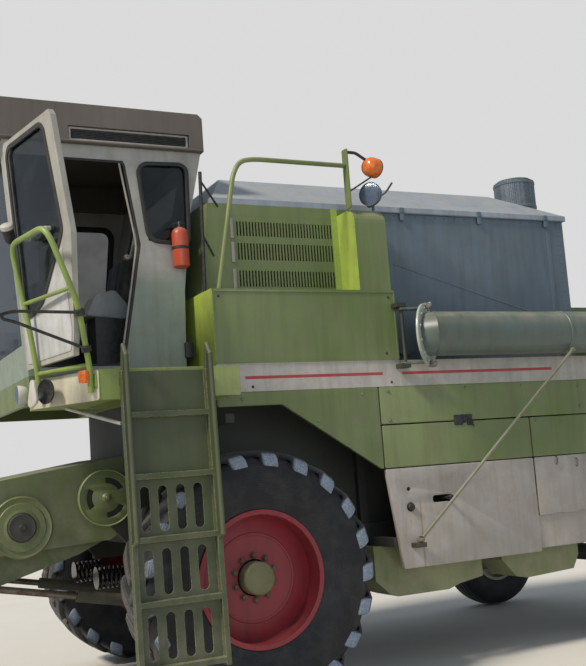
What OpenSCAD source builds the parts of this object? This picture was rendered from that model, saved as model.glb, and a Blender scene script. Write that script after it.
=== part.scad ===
// Self-propelled combine harvester with a closed cab, shown without its cutting table.
// Millimetres. X runs to the rear, Y to the machine's right, Z up from the ground.
// Places along X are counted from the front axle; the whole machine is then moved by mid_x.

/* [Body] */
// Front axle to rear axle
wheelbase = 3400; // [3300:10:3600]
// Half width over the side panels
panel_y = 1150; // [1120:5:1200]
// Half width of the threshing channel
channel_y = 650; // [620:5:670]
// Front face of the channel, ahead of the front axle
channel_front = 500; // [490:5:540]
// Thickness of a panel with its folded edges
sheet_t = 30; // [20:1:36]
// Height of the channel's top and of the side panels' top edge
deck_z = 1930; // [1900:5:1960]
// Height of the pale stripe's band
band_h = 180; // [150:5:200]
// Rear end of the straw hood, behind the front axle
hood_end = 5000; // [4900:10:5200]

/* [Front wheels] */
// Radius over the lugs
tyre_r = 780; // [750:5:800]
// Width of a front tyre
tyre_w = 467; // [420:1:480]
// Outer face of a front tyre from the centre plane
tyre_out = 1370; // [1350:5:1385]
// Height of a lug above the carcass
lug_h = 34; // [24:1:40]
// Lugs on one side of the tread
lug_n = 21; // [18:1:24]
// Radius of the rim's outer edge
rim_r = 415; // [390:1:430]
// How far the disc stands inside the outer face
dish = 170; // [140:5:190]

/* [Rear wheels] */
// Radius of a rear tyre
rear_r = 460; // [440:5:470]
// Width of a rear tyre
rear_w = 270; // [240:5:290]
// Kingpin from the centre plane
king_y = 780; // [760:5:800]
// Middle of a rear tyre from its kingpin
king_off = 215; // [205:5:230]

/* [Feeder] */
// Half width of the feeder housing
feeder_y = 600; // [560:5:600]
// Front mouth, ahead of the front axle
feeder_front = 2200; // [2100:10:2300]
// Pivot shaft, ahead of the front axle
pivot_f = 780; // [770:5:800]
// Height of the pivot shaft
pivot_z = 1330; // [1310:5:1350]
// Radius of a lift cylinder's barrel
barrel_r = 38; // [34:1:42]
// Radius of a lift cylinder's rod
rod_r = 22; // [18:1:26]

/* [Cab] */
// Half width over the cab's walls
cab_y = 850; // [820:5:880]
// Thickness of a cab wall
wall_t = 40; // [30:1:45]
// Height of the cab floor
floor_z = 2100; // [2080:5:2120]
// Height of the walls' top edge
eave_z = 3590; // [3560:5:3620]
// Height of the roof above the walls
roof_h = 260; // [210:5:310]
// How far the door stands open, in degrees
door_open = 78; // [70:1:78]
// Thickness of a window pane
pane_t = 6; // [4:1:8]

/* [Tank] */
// Half width of the grain tank
tank_y = 900; // [880:5:905]
// Rear wall of the tank, behind the front axle
tank_end = 3030; // [2980:10:3080]
// Height of the tank's top edge
tank_z = 3230; // [3200:5:3260]
// Height of the cover's ridge above the tank's edge
ridge_h = 320; // [270:5:370]
// Radius of the unloading tube
tube_r = 153; // [140:1:156]
// Rear end of the unloading tube, behind the front axle
tube_end = 4900; // [4700:10:4980]

/* [Access] */
// Width of the ladder over its stiles
ladder_w = 530; // [480:5:560]
// Number of rungs
rung_n = 5; // [4:1:6]
// Radius of the handrail tube
rail_r = 19; // [16:1:22]
// Slots in one row of the louvre panel
louvre_n = 32; // [28:1:34]

/* [Hidden] */
roof_z = eave_z + roof_h;
ridge_z = tank_z + ridge_h;
$fn = 48;
// Gap between round faces that turn in one another
run = 0.3;
mid_x = (hood_end + 45 - feeder_front - 50) / 2;

green = "#7f9646";
cream = "#c9c4b8";
black = "#1d1d20";
dark = "#3a4a2c";
red = "#a5202b";
grey = "#8d8f8a";
glass = "#9fb4bd";

module placed() translate([-mid_x, 0, 0]) children();

module box(x0, x1, y0, y1, z0, z1) translate([x0, y0, z0]) cube([x1 - x0, y1 - y0, z1 - z0]);

// A profile drawn in X and Z, running from y0 to y1
module slab(points, y0, y1)
    translate([0, y1, 0]) rotate([90, 0, 0]) linear_extrude(y1 - y0) polygon(points);

// A profile drawn in Y and Z, running from x0 to x1
module bar(points, x0, x1)
    translate([x0, 0, 0]) rotate([90, 0, 90]) linear_extrude(x1 - x0) polygon(points);

// A round bar from p to q
module rod(p, q, r) {
    d = q - p;
    translate(p) rotate([0, acos(d[2] / norm(d)), atan2(d[1], d[0])]) cylinder(h = norm(d), r = r);
}

// Half the angle that a bar turns through at point i of a list
function half_bend(p, i) = i == 0 || i == len(p) - 1 ? 90 : let(
    a = p[i] - p[i - 1],
    b = p[i + 1] - p[i]
) acos(min(1, a * b / (norm(a) * norm(b)))) / 2;
// How far a bar stops short of a bend: a slight bend is left to its ball alone
function short(h) = h < 24 ? 1.1 * tan(h) + 0.06 : 0;

// A bent round bar through a list of points
module pipe(points, r) {
    for (i = [0 : len(points) - 2]) {
        d = (points[i + 1] - points[i]) / norm(points[i + 1] - points[i]);
        start = points[i] + d * r * short(half_bend(points, i));
        end = points[i + 1] - d * r * short(half_bend(points, i + 1));
        rod(start, end, r);
    }
    for (i = [1 : len(points) - 2]) {
        h = half_bend(points, i);
        a = points[i] - points[i - 1];
        b = points[i + 1] - points[i];
        d = a / norm(a) + b / norm(b);
        translate(points[i]) rotate([0, acos(d[2] / norm(d)), atan2(d[1], d[0])])
            sphere(r = r * (h < 24 ? 1.05 / cos(h) : 1.04));
    }
}

module both() {
    children();
    mirror([0, 1, 0]) children();
}

// A ring about the Y axis, with its profile as radius and place along Y
module turned(points) rotate([-90, 0, 0]) rotate_extrude() polygon(points);

// Body

rail_z = 850;
rail_h = 150;
rail_t = 80;
hood_z = 1050;
hood_y = channel_y + 60;
shoe_z = 560;
shoe_end = wheelbase - 600;
seam_x = 1040;
seam2_x = 2295;
post_w = 60;
panel_end = wheelbase + 150;
// Frame posts behind the panels: place, height of the lower strut
POSTS = [[-60, 1740], [seam_x + 60, rail_z], [seam2_x, rail_z], [wheelbase - 30, 1500]];
function post_x(p) = p[0];
function strut_z(p) = p[1];
function side_y(x) = x > tank_end ? hood_y : channel_y;

module threshing_body() color(green) placed()
    slab([
        [-channel_front, deck_z], [-channel_front, 1000], [300, 1000], [480, shoe_z + 40],
        [560, shoe_z], [shoe_end - 60, shoe_z], [shoe_end, shoe_z + 60], [shoe_end, hood_z],
        [tank_end, hood_z], [tank_end, deck_z]
    ], -channel_y, channel_y);

ear_t = 30;
pin_r = 30;
lift_a = [-220, 585];
lift_b = [-1660, 875];
lift_y = 560;
lift_pin = 16;
lug_t = 16;
ear_off = barrel_r + 4 + lug_t / 2;
beam_half = 90;

module main_frame() color(green) placed() both() {
    box(-channel_front, shoe_end, channel_y, channel_y + rail_t, rail_z, rail_z + rail_h);
    for (p = POSTS) {
        x0 = post_x(p) - post_w / 2;
        y0 = side_y(post_x(p));
        box(x0, x0 + post_w, y0, y0 + 50, strut_z(p) == 1740 ? rail_z : strut_z(p), deck_z);
        box(x0, x0 + post_w, y0, panel_y - sheet_t, 1740, 1800);
        box(x0, x0 + post_w, y0, panel_y - sheet_t, strut_z(p), strut_z(p) + 60);
    }
    // Gusset that carries the feeder's pivot
    difference() {
        slab([
            [-300, rail_z + 20], [-channel_front, rail_z + 20], [-pivot_f - 60, pivot_z - 60],
            [-pivot_f - 60, pivot_z + 60], [-pivot_f + 60, pivot_z + 120], [-300, 1560]
        ], channel_y, channel_y + ear_t);
        translate([-pivot_f, channel_y - 1, pivot_z]) rotate([-90, 0, 0])
            cylinder(h = ear_t + 2, r = pin_r + run);
    }
}

module front_axle() color(dark) placed() {
    box(-beam_half, beam_half, -hub_in, hub_in, rail_z - 170, rail_z);
    both() {
        // Final drive housing
        translate([0, hub_in - 130, tyre_r]) rotate([-90, 0, 0]) cylinder(h = 130, r = 170);
        // Lift cylinder ears under the beam
        for (s = [-1, 1])
            difference() {
                slab([
                    [-beam_half, rail_z - 170], [-beam_half + 60, rail_z - 170], [-beam_half + 40, 600],
                    [lift_a[0] + 10, lift_a[1] - 40], [lift_a[0] - 35, lift_a[1] - 20],
                    [lift_a[0] - 35, lift_a[1] + 30], [-beam_half, rail_z - 90]
                ], lift_y + s * ear_off - lug_t / 2, lift_y + s * ear_off + lug_t / 2);
                translate([lift_a[0], lift_y + s * ear_off - lug_t, lift_a[1]]) rotate([-90, 0, 0])
                    cylinder(h = 2 * lug_t, r = lift_pin + run);
            }
    }
}

trough_y = 940;
module auger_troughs() color(green) placed() both() {
    slab([
        [1010, shoe_z + 60], [1120, 520], [1180, 500], [1600, 500], [1700, 530], [1900, shoe_z],
        [1900, rail_z], [1010, rail_z]
    ], channel_y, trough_y);
    slab([
        [2080, shoe_z + 90], [2200, 520], [2300, 500], [shoe_end - 60, 520], [shoe_end, 620],
        [shoe_end, rail_z], [2080, rail_z]
    ], channel_y, trough_y);
}

module side_panel() {
    slab([
        [-145, deck_z], [-145, 1840], [300, 1840], [1010, 1375], [seam_x, 1380],
        [panel_end, 1380], [panel_end, deck_z]
    ], panel_y - sheet_t, panel_y);
}
module side_panels() color(green) placed() both() side_panel();

module side_shield()
    difference() {
        slab([
            [seam_x, 1377], [seam_x + 80, 700], [seam2_x - 4, 700], [seam2_x - 4, 1377]
        ], panel_y - sheet_t, panel_y);
        translate([1208, panel_y - sheet_t - 1, 1107]) rotate([-90, 0, 0]) cylinder(h = sheet_t + 2,
            r = 30);
        translate([1204, panel_y - sheet_t - 1, 1228]) rotate([-90, 0, 0]) cylinder(h = sheet_t + 2,
            r = 14);
        box(1390, 1560, panel_y - sheet_t - 1, panel_y + 1, 1120, 1172);
    }
module side_shields() color(cream) placed() both() side_shield();

module rear_shield() {
    box(seam2_x, shoe_end, panel_y - sheet_t, panel_y, 720, 1377);
    box(shoe_end, panel_end, panel_y - sheet_t, panel_y, 1060, 1377);
}
module rear_shields() color(cream) placed() both() rear_shield();

box_x0 = -145;
box_x1 = 1220;
box_z = 2600;
wing_y = 910;

module ledge() {
    box(box_x1, panel_end, tank_y, panel_y, deck_z, deck_z + band_h);
}
module ledges() color(cream) placed() both() ledge();

// Straw hood and walkers

module straw_hood() color(green) placed()
    difference() {
        slab([
            [tank_end, hood_z], [tank_end, 2560], [3600, 2560], [4650, 2400], [hood_end, 2150],
            [hood_end, 1300], [4350, hood_z]
        ], -hood_y, hood_y);
        slab([
            [tank_end + 30, hood_z - 50], [tank_end + 30, 2530], [3597, 2530], [4640, 2372],
            [hood_end - 30, 2130], [hood_end - 30, 1200], [4350, hood_z - 100]
        ], -hood_y + sheet_t, hood_y - sheet_t);
    }

walker_n = 4;
walker_in = hood_y - sheet_t;
module straw_walkers() color(grey) placed() {
    w = 2 * (walker_in - 20) / walker_n;
    for (i = [0 : walker_n - 1])
        slab([
            [tank_end + 60, 1250], [tank_end + 60, 1420], [3500, 1500], [3500, 1560], [4050, 1640],
            [4050, 1700], [4600, 1780], [4600, 1600]
        ], -walker_in + 20 + i * w + 6, -walker_in + 20 + (i + 1) * w - 6);
    // Crankshafts
    for (c = [[3250, 1360], [4300, 1620]])
        translate([c[0], -walker_in, c[1]]) rotate([-90, 0, 0]) cylinder(h = 2 * walker_in, r = 28);
}

// Engine housing, behind the cab

slot_x0 = 160;
slot_x1 = 900;
step_x = 950;
step_z = 3180;
step_round = 100;
// Front edge of the upper housing: it leans back beside the cab
module upper(x0, y, z0, z1, dx)
    slab([[x0, z0], [x0 + dx, z1], [box_x1 - (x0 + 115), z1], [box_x1 - (x0 + 115), z0]], -y, y);
module engine_housing() color(green) placed()
    difference() {
        union() {
            box(box_x0, box_x1, -panel_y, panel_y, deck_z, box_z);
            upper(-115, wing_y, box_z, tank_z, 75);
            both() bar(concat(
                [[wing_y - 1, box_z], [panel_y, box_z]],
                [for (a = [0 : 15 : 90]) [panel_y - step_round * (1 - cos(a)),
                    step_z - step_round * (1 - sin(a))]],
                [[wing_y - 1, step_z]]
            ), step_x, 1200);
        }
        box(box_x0 + sheet_t, box_x1 - sheet_t, -panel_y + sheet_t, panel_y - sheet_t,
            deck_z + sheet_t, box_z - sheet_t);
        upper(-115 + sheet_t, wing_y - sheet_t, box_z - sheet_t - 1, tank_z - sheet_t, 75);
        both() box(slot_x0 - 40, slot_x1 + 20, wing_y - sheet_t - 1, wing_y + 1, box_z + 30, tank_z - 80);
    }

// Rows of the louvre panel: foot, top
ROWS = [[570, 460], [385, 270], [220, 120]];
function row_z0(r) = tank_z - r[0];
function row_z1(r) = tank_z - r[1];
module louvre()
    difference() {
        box(slot_x0 - 40, slot_x1 + 20, wing_y - 16, wing_y, box_z + 30, tank_z - 80);
        for (r = ROWS, i = [0 : louvre_n - 1])
            translate([slot_x0 + 10 + i * (slot_x1 - slot_x0 - 20) / (louvre_n - 1), 0, 0])
                box(-5.5, 5.5, wing_y - 17, wing_y + 1, row_z0(r), row_z1(r));
    }
module louvres() color(green) placed() both() louvre();

module engine() color(grey) placed() box(100, 950, -450, 500, deck_z + sheet_t, tank_z - 280);

// Grain tank

module grain_tank() color(green) placed() {
    difference() {
        box(box_x1, tank_end, -tank_y, tank_y, deck_z, tank_z);
        box(box_x1 + sheet_t, tank_end - sheet_t, -tank_y + sheet_t, tank_y - sheet_t,
            deck_z + sheet_t, tank_z + 1);
    }
    translate([1400, -tank_y + 1, 2300]) rotate([90, 0, 0]) cylinder(h = 60, r = 130);
}

module tank_cover() color(green) placed()
    difference() {
        intersection() {
            slab([
                [0, tank_z], [0, tank_z + 40], [260, ridge_z], [2700, ridge_z],
                [tank_end + 30, tank_z + 40], [tank_end + 30, tank_z]
            ], -wing_y, wing_y);
            bar([
                [-wing_y, tank_z], [-wing_y, tank_z + 40], [-420, ridge_z], [420, ridge_z],
                [wing_y, tank_z + 40], [wing_y, tank_z]
            ], 0, tank_end + 30);
        }
        intersection() {
            slab([
                [sheet_t, tank_z - 1], [sheet_t, tank_z + 20], [280, ridge_z - sheet_t],
                    [2680, ridge_z - sheet_t],
                [tank_end, tank_z + 20], [tank_end, tank_z - 1]
            ], -wing_y, wing_y);
            bar([
                [-wing_y + sheet_t, tank_z - 1], [-wing_y + sheet_t, tank_z + 25],
                    [-410, ridge_z - sheet_t],
                [410, ridge_z - sheet_t], [wing_y - sheet_t, tank_z + 25], [wing_y - sheet_t, tank_z - 1]
            ], 0, tank_end + 30);
        }
    }

intake_x = 3330;
module intake_screen() color(grey) placed() {
    translate([intake_x, 0, 2560]) cylinder(h = 790, r = 110);
    translate([intake_x, 0, 3340]) cylinder(h = 480, r = 180);
    translate([intake_x, 0, 3820]) cylinder(h = 20, r = 150);
}

rail_y = panel_y - 40;
module service_rail() color(green) placed() {
    difference() {
        pipe([
            [-75, -rail_y, box_z - 40], [65, -rail_y, 3330], [190, -rail_y, 3480], [913, -rail_y, 3490]
        ], rail_r);
        box(-200, 0, -panel_y, -rail_y + 40, box_z - 100, box_z);
    }
    box(905, 975, -rail_y - 20, -rail_y + 20, 3180, 3610);
}

lamp_x = 1150;
module beacon() color("#d8641e") placed() {
    translate([lamp_x, -rail_y, 3400]) cylinder(h = 50, r = 60);
    translate([lamp_x, -rail_y, 3450]) cylinder(h = 120, r = 70);
    box(975, lamp_x, -rail_y - 12, -rail_y + 12, 3400, 3430);
}

module work_lamp() color(black) placed() {
    translate([lamp_x - 60, -rail_y, 3290]) rotate([0, 90, 0]) cylinder(h = 90, r1 = 85, r2 = 50);
    box(lamp_x - 40, lamp_x - 10, -panel_y + step_round, -panel_y + step_round + 24, step_z, 3290);
}

// Cab

base_z = floor_z - 50;
cab_x0 = -1250;
cab_top_x0 = -1360;
// Rear edge of the cab's side: X, Z
CAB_REAR = [[-40, eave_z], [-140, 3160], [-210, 2640], [-230, floor_z]];

module cab_base() color(green) placed() {
    difference() {
        box(cab_x0, -160, -cab_y, cab_y, deck_z, base_z);
        box(cab_x0 + sheet_t, -channel_front - 40, -cab_y + sheet_t, cab_y - sheet_t, deck_z - 1,
            base_z - sheet_t);
    }
    box(cab_x0, -230, -cab_y, cab_y, base_z, floor_z);
}

module cab_side()
    difference() {
        slab(concat([[cab_x0, floor_z], [cab_top_x0, eave_z]], CAB_REAR), cab_y - wall_t, cab_y);
        children();
    }

// Door opening in the left wall
DOOR = [
    [-1205, floor_z + 50], [-1310, 3500], [-590, 3500], [-574, 3470], [-495, 2940], [-617, 2280],
    [-640, floor_z + 50]
];
REAR_WIN = [[-440, 2970], [-490, 3440], [-450, 3490], [-190, 3500], [-150, 3470], [-160, 2980],
    [-200, 2955]];
module cab_left() color(cream) placed() {
    mirror([0, 1, 0]) cab_side() {
        slab(DOOR, cab_y - wall_t - 1, cab_y + 1);
        slab(REAR_WIN, cab_y - wall_t - 1, cab_y + 1);
    }
    // Lugs with the door's hinge pins
    door_axis() for (h = HINGES) {
        translate([0, 0, h - 14]) cylinder(h = 14 - run, r = hinge_r);
        translate([0, 0, h - 14]) cube([hinge_r, door_y - cab_y + 6, 14 - run]);
        translate([0, 0, h - 8]) cylinder(h = 8 + hinge_h, r = hinge_pin);
    }
}

SIDE_WIN = [[-1190, 2600], [-1250, 3400], [-1210, 3450], [-820, 3450], [-780, 3410], [-780, 2640],
    [-820, 2600]];
SIDE_WIN2 = [[-690, 2640], [-690, 3410], [-650, 3450], [-240, 3450], [-200, 3400], [-280, 2640],
    [-320, 2600], [-650, 2600]];
module cab_right() color(cream) placed() cab_side() {
    slab(SIDE_WIN, cab_y - wall_t - 1, cab_y + 1);
    slab(SIDE_WIN2, cab_y - wall_t - 1, cab_y + 1);
}

function front_x(z) = cab_x0 + (cab_top_x0 - cab_x0) * (z - floor_z) / (eave_z - floor_z);
module cab_front() color(cream) placed() {
    y = cab_y - wall_t;
    difference() {
        slab([
            [cab_x0, floor_z], [cab_x0 + wall_t, floor_z], [cab_top_x0 + wall_t, eave_z],
                [cab_top_x0, eave_z]
        ], -y, y);
        box(-1500, -1100, -y + 50, y - 50, 2300, 3520);
    }
}

module cab_rear() color(cream) placed() {
    y = cab_y - wall_t;
    difference() {
        slab([
            [-40, eave_z], [-140, 3160], [-210, 2640], [-230, floor_z], [-230 - wall_t, floor_z],
            [-210 - wall_t, 2640], [-140 - wall_t, 3160], [-40 - wall_t, eave_z]
        ], -y, y);
        box(-400, 0, -560, 560, 3000, 3480);
    }
}

module cab_roof() color(cream) placed()
    difference() {
        slab([
            [-1480, eave_z + 20], [-1400, eave_z], [-30, eave_z], [-30, roof_z - 30], [-60, roof_z],
            [-1380, roof_z], [-1480, roof_z - 60]
        ], -cab_y - 40, cab_y + 40);
        both() box(-950, -130, cab_y + 10, cab_y + 41, eave_z + 15, eave_z + 110);
        box(-1340, -90, -cab_y + wall_t + 20, cab_y - wall_t - 20, eave_z - 1, roof_z - 50);
    }

module pane_side(points) slab(points, cab_y - wall_t / 2 - pane_t / 2, cab_y - wall_t / 2 + pane_t / 2);
module cab_glass() color(glass) placed() {
    mirror([0, 1, 0]) pane_side(REAR_WIN);
    pane_side(SIDE_WIN);
    pane_side(SIDE_WIN2);
    slab([
        [front_x(2300) + 17, 2300], [front_x(2300) + 17 + pane_t, 2300],
        [front_x(3520) + 17 + pane_t, 3520], [front_x(3520) + 17, 3520]
    ], -cab_y + wall_t + 50, cab_y - wall_t - 50);
    slab([
        [-197, 3000], [-197 + pane_t, 3000], [-160 + pane_t, 3160], [-86 + pane_t, 3480], [-86, 3480],
        [-160, 3160]
    ], -560, 560);
}

module seat() color(black) placed() {
    box(-620, -330, -130, 130, floor_z, floor_z + 320);
    box(-720, -280, -240, 240, floor_z + 320, floor_z + 450);
    slab([
        [-330, floor_z + 450], [-250, floor_z + 900], [-330, floor_z + 920], [-420, floor_z + 450]
    ], -230, 230);
}

module steering_column() color(grey) placed() {
    slab([
        [-1150, floor_z], [-1100, floor_z + 560], [-1000, floor_z + 600], [-1000, floor_z]
    ], -120, 120);
    rod([-1060, 0, floor_z + 560], [-980, 0, floor_z + 720], 30);
    translate([-975, 0, floor_z + 730]) rotate([0, -27, 0])
        rotate_extrude() translate([190, 0]) circle(r = 16);
    translate([-975, 0, floor_z + 730]) rotate([0, -27, 0]) box(-185, 185, -18, 18, -10, 8);
    translate([-975, 0, floor_z + 730]) rotate([0, -27, 0]) box(-18, 18, -185, 185, -10, 8);
    box(-1000, -560, 330, 560, floor_z, floor_z + 520);
}

module extinguisher() color("#c8431f") placed() {
    translate([-245, -cab_y - 62, 2780]) cylinder(h = 260, r = 55);
    translate([-245, -cab_y - 62, 3040]) cylinder(h = 50, r1 = 40, r2 = 16);
    box(-275, -215, -cab_y - 12, -cab_y, 2830, 2980);
}

// Door, hung on the slanted front post and standing open

door_t = 34;
door_gap = 5;
hinge_r = 12;
hinge_pin = 6;
hinge_h = 70;
// Heights of the door's hinges over the floor
HINGES = [260, 1150];
door_y = cab_y + door_gap + door_t / 2;
post_lean = atan((cab_x0 - cab_top_x0) / (eave_z - floor_z));
// Outline of the door from its hinge line: distance behind it, height over the floor
DOOR_OUT = [[22, 30], [22, 1410], [50, 1436], [690, 1436], [716, 1400], [795, 700], [690, 160], [650, 30]];
DOOR_WIN = [
    [75, 345], [75, 1345], [110, 1385], [560, 1385], [600, 1350], [690, 740], [650, 690], [345, 395],
        [190, 345]
];
module door_axis() translate([cab_x0, -door_y, floor_z]) rotate([0, -post_lean, 0]) children();
module door_place() door_axis() rotate([0, 0, -door_open]) children();
module door_sheet(points, t) translate([0, t / 2, 0]) rotate([90, 0, 0]) linear_extrude(t) polygon(points);
module cab_door() color(cream) placed() door_place() {
    difference() {
        door_sheet(DOOR_OUT, door_t);
        door_sheet(DOOR_WIN, door_t + 2);
    }
    for (h = HINGES) difference() {
        union() {
            translate([0, 0, h]) cylinder(h = hinge_h, r = hinge_r);
            translate([0, -8, h]) cube([40, 16, hinge_h]);
        }
        translate([0, 0, h - 1]) cylinder(h = hinge_h + 2, r = hinge_pin + run);
    }
}
module door_glass() color(glass) placed() door_place() door_sheet(DOOR_WIN, pane_t);

// Deck, ladder and rails

deck_out = 1530;
deck_in = 970;
deck_x0 = -1000;
deck_top = floor_z - 40;
module deck_plan(z0, z1) translate([0, 0, z0]) linear_extrude(z1 - z0)
    polygon([[cab_x0, -cab_y], [cab_x0, -deck_in], [deck_x0, -deck_out], [-150, -deck_out],
        [-150, -cab_y]]);
module deck() color(green) placed()
    difference() {
        deck_plan(1885, deck_top);
        box(deck_x0 + 90, -190, -deck_out + 30, -cab_y - 30, 1884, deck_top - 30);
    }

ladder_x0 = -890;
step_h = 345;
lad_top = [-deck_out - 35, 2040];
lad_foot = [-deck_out - 90, 380];
function lad_y(z) = lad_foot[0] + (lad_top[0] - lad_foot[0]) * (z - lad_foot[1]) / (lad_top[1] - lad_foot[1]);
module ladder() color(green) placed() {
    // Stiles
    for (x = [ladder_x0, ladder_x0 + ladder_w - 30])
        bar([
            [lad_top[0] - 25, lad_top[1]], [lad_foot[0] - 25, lad_foot[1]], [lad_foot[0] + 25, lad_foot[1]],
            [lad_top[0] + 25, lad_top[1]]
        ], x, x + 30);
    for (i = [0 : rung_n - 1]) {
        z = 410 + i * step_h;
        box(ladder_x0 + 20, ladder_x0 + ladder_w - 20, lad_y(z) - 25, lad_y(z) + 25, z - 15, z + 15);
    }
    // Hooks on the deck's edge
    for (x = [ladder_x0, ladder_x0 + ladder_w - 30])
        box(x, x + 30, lad_top[0] - 10, -deck_out, 1960, 2010);
    // Solid back sheet above, slotted sheet below
    bar([
        [lad_y(2040) + 16, 2040], [lad_y(1440) + 16, 1440], [lad_y(1440) + 21, 1440],
            [lad_y(2040) + 21, 2040]
    ], ladder_x0 + 25, ladder_x0 + ladder_w - 25);
    difference() {
        bar([
            [lad_y(1440) + 16, 1440], [lad_y(410) + 16, 410], [lad_y(410) + 21, 410],
                [lad_y(1440) + 21, 1440]
        ], ladder_x0 + 25, ladder_x0 + ladder_w - 25);
        for (i = [0 : 2], j = [0 : 3])
            translate([ladder_x0 + 102 + j * (ladder_w - 110) / 4, lad_top[0] + 65, 450 + i * step_h]) {
                box(-26.5, 26.5, -200, 0, 27, 223);
                for (z = [27, 223]) translate([0, 0, z]) rotate([90, 0, 0]) cylinder(h = 200, r = 27);
            }
    }
    // Hand loops outside the stiles
    for (x = [ladder_x0 + 15, ladder_x0 + ladder_w - 15])
        pipe([
            [x, lad_y(1060), 1060], [x, lad_y(1090) - 75, 1100], [x, lad_top[0] - 75, 2120],
            [x, lad_top[0] - 30, 2180], [x, lad_top[0], 2030]
        ], 14);
}

// Rail legs stand off the deck's slanted front edge
edge_dir = [deck_x0 - cab_x0, deck_in - deck_out] / norm([deck_x0 - cab_x0, deck_in - deck_out]);
edge_turn = atan2(edge_dir[0], -edge_dir[1]);
leg_off = 36;
function leg_at(s, z) = concat([cab_x0, -deck_in] + s * edge_dir + leg_off * [edge_dir[1],
    -edge_dir[0]], z);
RAIL_IN = [leg_at(104, deck_top + 6), [-1295, -1098, 2410], [-1378, -1110, 2850]];
RAIL_OUT = [leg_at(578, deck_top + 6), [-1125, -1615, 2420], [-1300, -1680, 2830]];
module guard_rail() color(green) placed() {
    up_in = RAIL_IN[2] - RAIL_IN[1];
    up_out = RAIL_OUT[2] - RAIL_OUT[1];
    pipe([
        leg_at(104, 1925), RAIL_IN[0], RAIL_IN[1], RAIL_IN[2], RAIL_OUT[2], RAIL_OUT[1], RAIL_OUT[0],
            leg_at(578, 1925)
    ], rail_r);
    // Middle bar, just above the bends
    rod(RAIL_IN[1] + 0.2 * up_in, RAIL_OUT[1] + 0.2 * up_out, rail_r - 5);
    // Blocks between the legs and the deck's edge
    for (s = [104, 578])
        translate(leg_at(s, 1950)) rotate([0, 0, edge_turn]) box(0, leg_off, -26, 26, 0, 84);
}

arm_r = 9;
module mirrors() color(black) placed() {
    for (s = [-1, 1]) box(-1712, -1680, s * 1570 - 90, s * 1570 + 90, 2250, 2600);
    // Left arms clamp the outer post of the rail
    d = RAIL_OUT[1] - RAIL_OUT[0];
    u = d / norm(d);
    difference() {
        for (m = [[0.3, 2385], [0.85, 2475]]) {
            a = RAIL_OUT[0] + m[0] * d;
            rod(a - 16 * u, a + 16 * u, rail_r + 8);
            rod(a, [-1685, -1570, m[1]], arm_r);
        }
        rod(RAIL_OUT[0] - 20 * u, RAIL_OUT[1] + 20 * u, rail_r + run);
    }
    for (m = [[2300, 2385], [2500, 2475]]) rod([-1185, cab_y + 8, m[0]], [-1685, 1570, m[1]], arm_r);
    box(-1220, -1150, cab_y, cab_y + 14, 2270, 2530);
}

// Unloading tube

swing = [1235, -1200];
tube_y = -1305;
tube_z = deck_z + band_h + 160;
tube_x0 = 1340;
ring_r = 215;
ring_t = 60;
tube_t = 6;
pin_up = 12;
lug_lo = -190;
lug_hi = 160;
module unload_tube() color(green) placed() {
    translate([tube_x0, tube_y, tube_z]) rotate([0, 90, 0]) cylinder(h = ring_t, r = ring_r);
    difference() {
        translate([tube_x0, tube_y, tube_z]) rotate([0, 90, 0]) cylinder(h = tube_end - tube_x0,
            r = tube_r);
        translate([tube_x0 + ring_t, tube_y, tube_z]) rotate([0, 90, 0])
            cylinder(h = tube_end - tube_x0, r = tube_r - tube_t);
    }
    // Hinge lugs
    difference() {
        for (z = [tube_z + lug_lo, tube_z + lug_hi]) {
            translate([swing[0], swing[1], z]) cylinder(h = 40, r = 26);
            box(swing[0], tube_x0 + 20, swing[1] - 20, swing[1] + 20, z, z + 40);
        }
        translate([swing[0], swing[1], tube_z - 300]) cylinder(h = 600, r = pin_up + run);
    }
    // Lug for the stay
    box(2490, 2540, tube_y - 105, tube_y - 85, tube_z - 165, tube_z - 100);
}

stay_z = 890;
module stay_bar() color(dark) placed()
    difference() {
        union() {
            rod([swing[0], swing[1], stay_z], [2515, tube_y - 130, tube_z - 145], 16);
            translate([swing[0], swing[1], stay_z - 20]) cylinder(h = 40, r = 24);
            translate([2515, tube_y - 105, tube_z - 145]) rotate([90, 0, 0]) cylinder(h = 40, r = 22);
        }
        translate([swing[0], swing[1], stay_z - 50]) cylinder(h = 100, r = pin_up + run);
    }

module tube_hinge() color(dark) placed() {
    for (z = [tube_z + lug_lo - 30, tube_z + lug_hi + 40, stay_z - 50])
        box(swing[0] - 50, swing[0] + 26, swing[1] - 26, -panel_y, z, z + 30);
    translate([swing[0], swing[1], tube_z + lug_lo - 30]) cylinder(h = lug_hi - lug_lo + 100, r = pin_up);
    translate([swing[0], swing[1], stay_z - 50]) cylinder(h = 72, r = pin_up);
}

// Feeder

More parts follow.
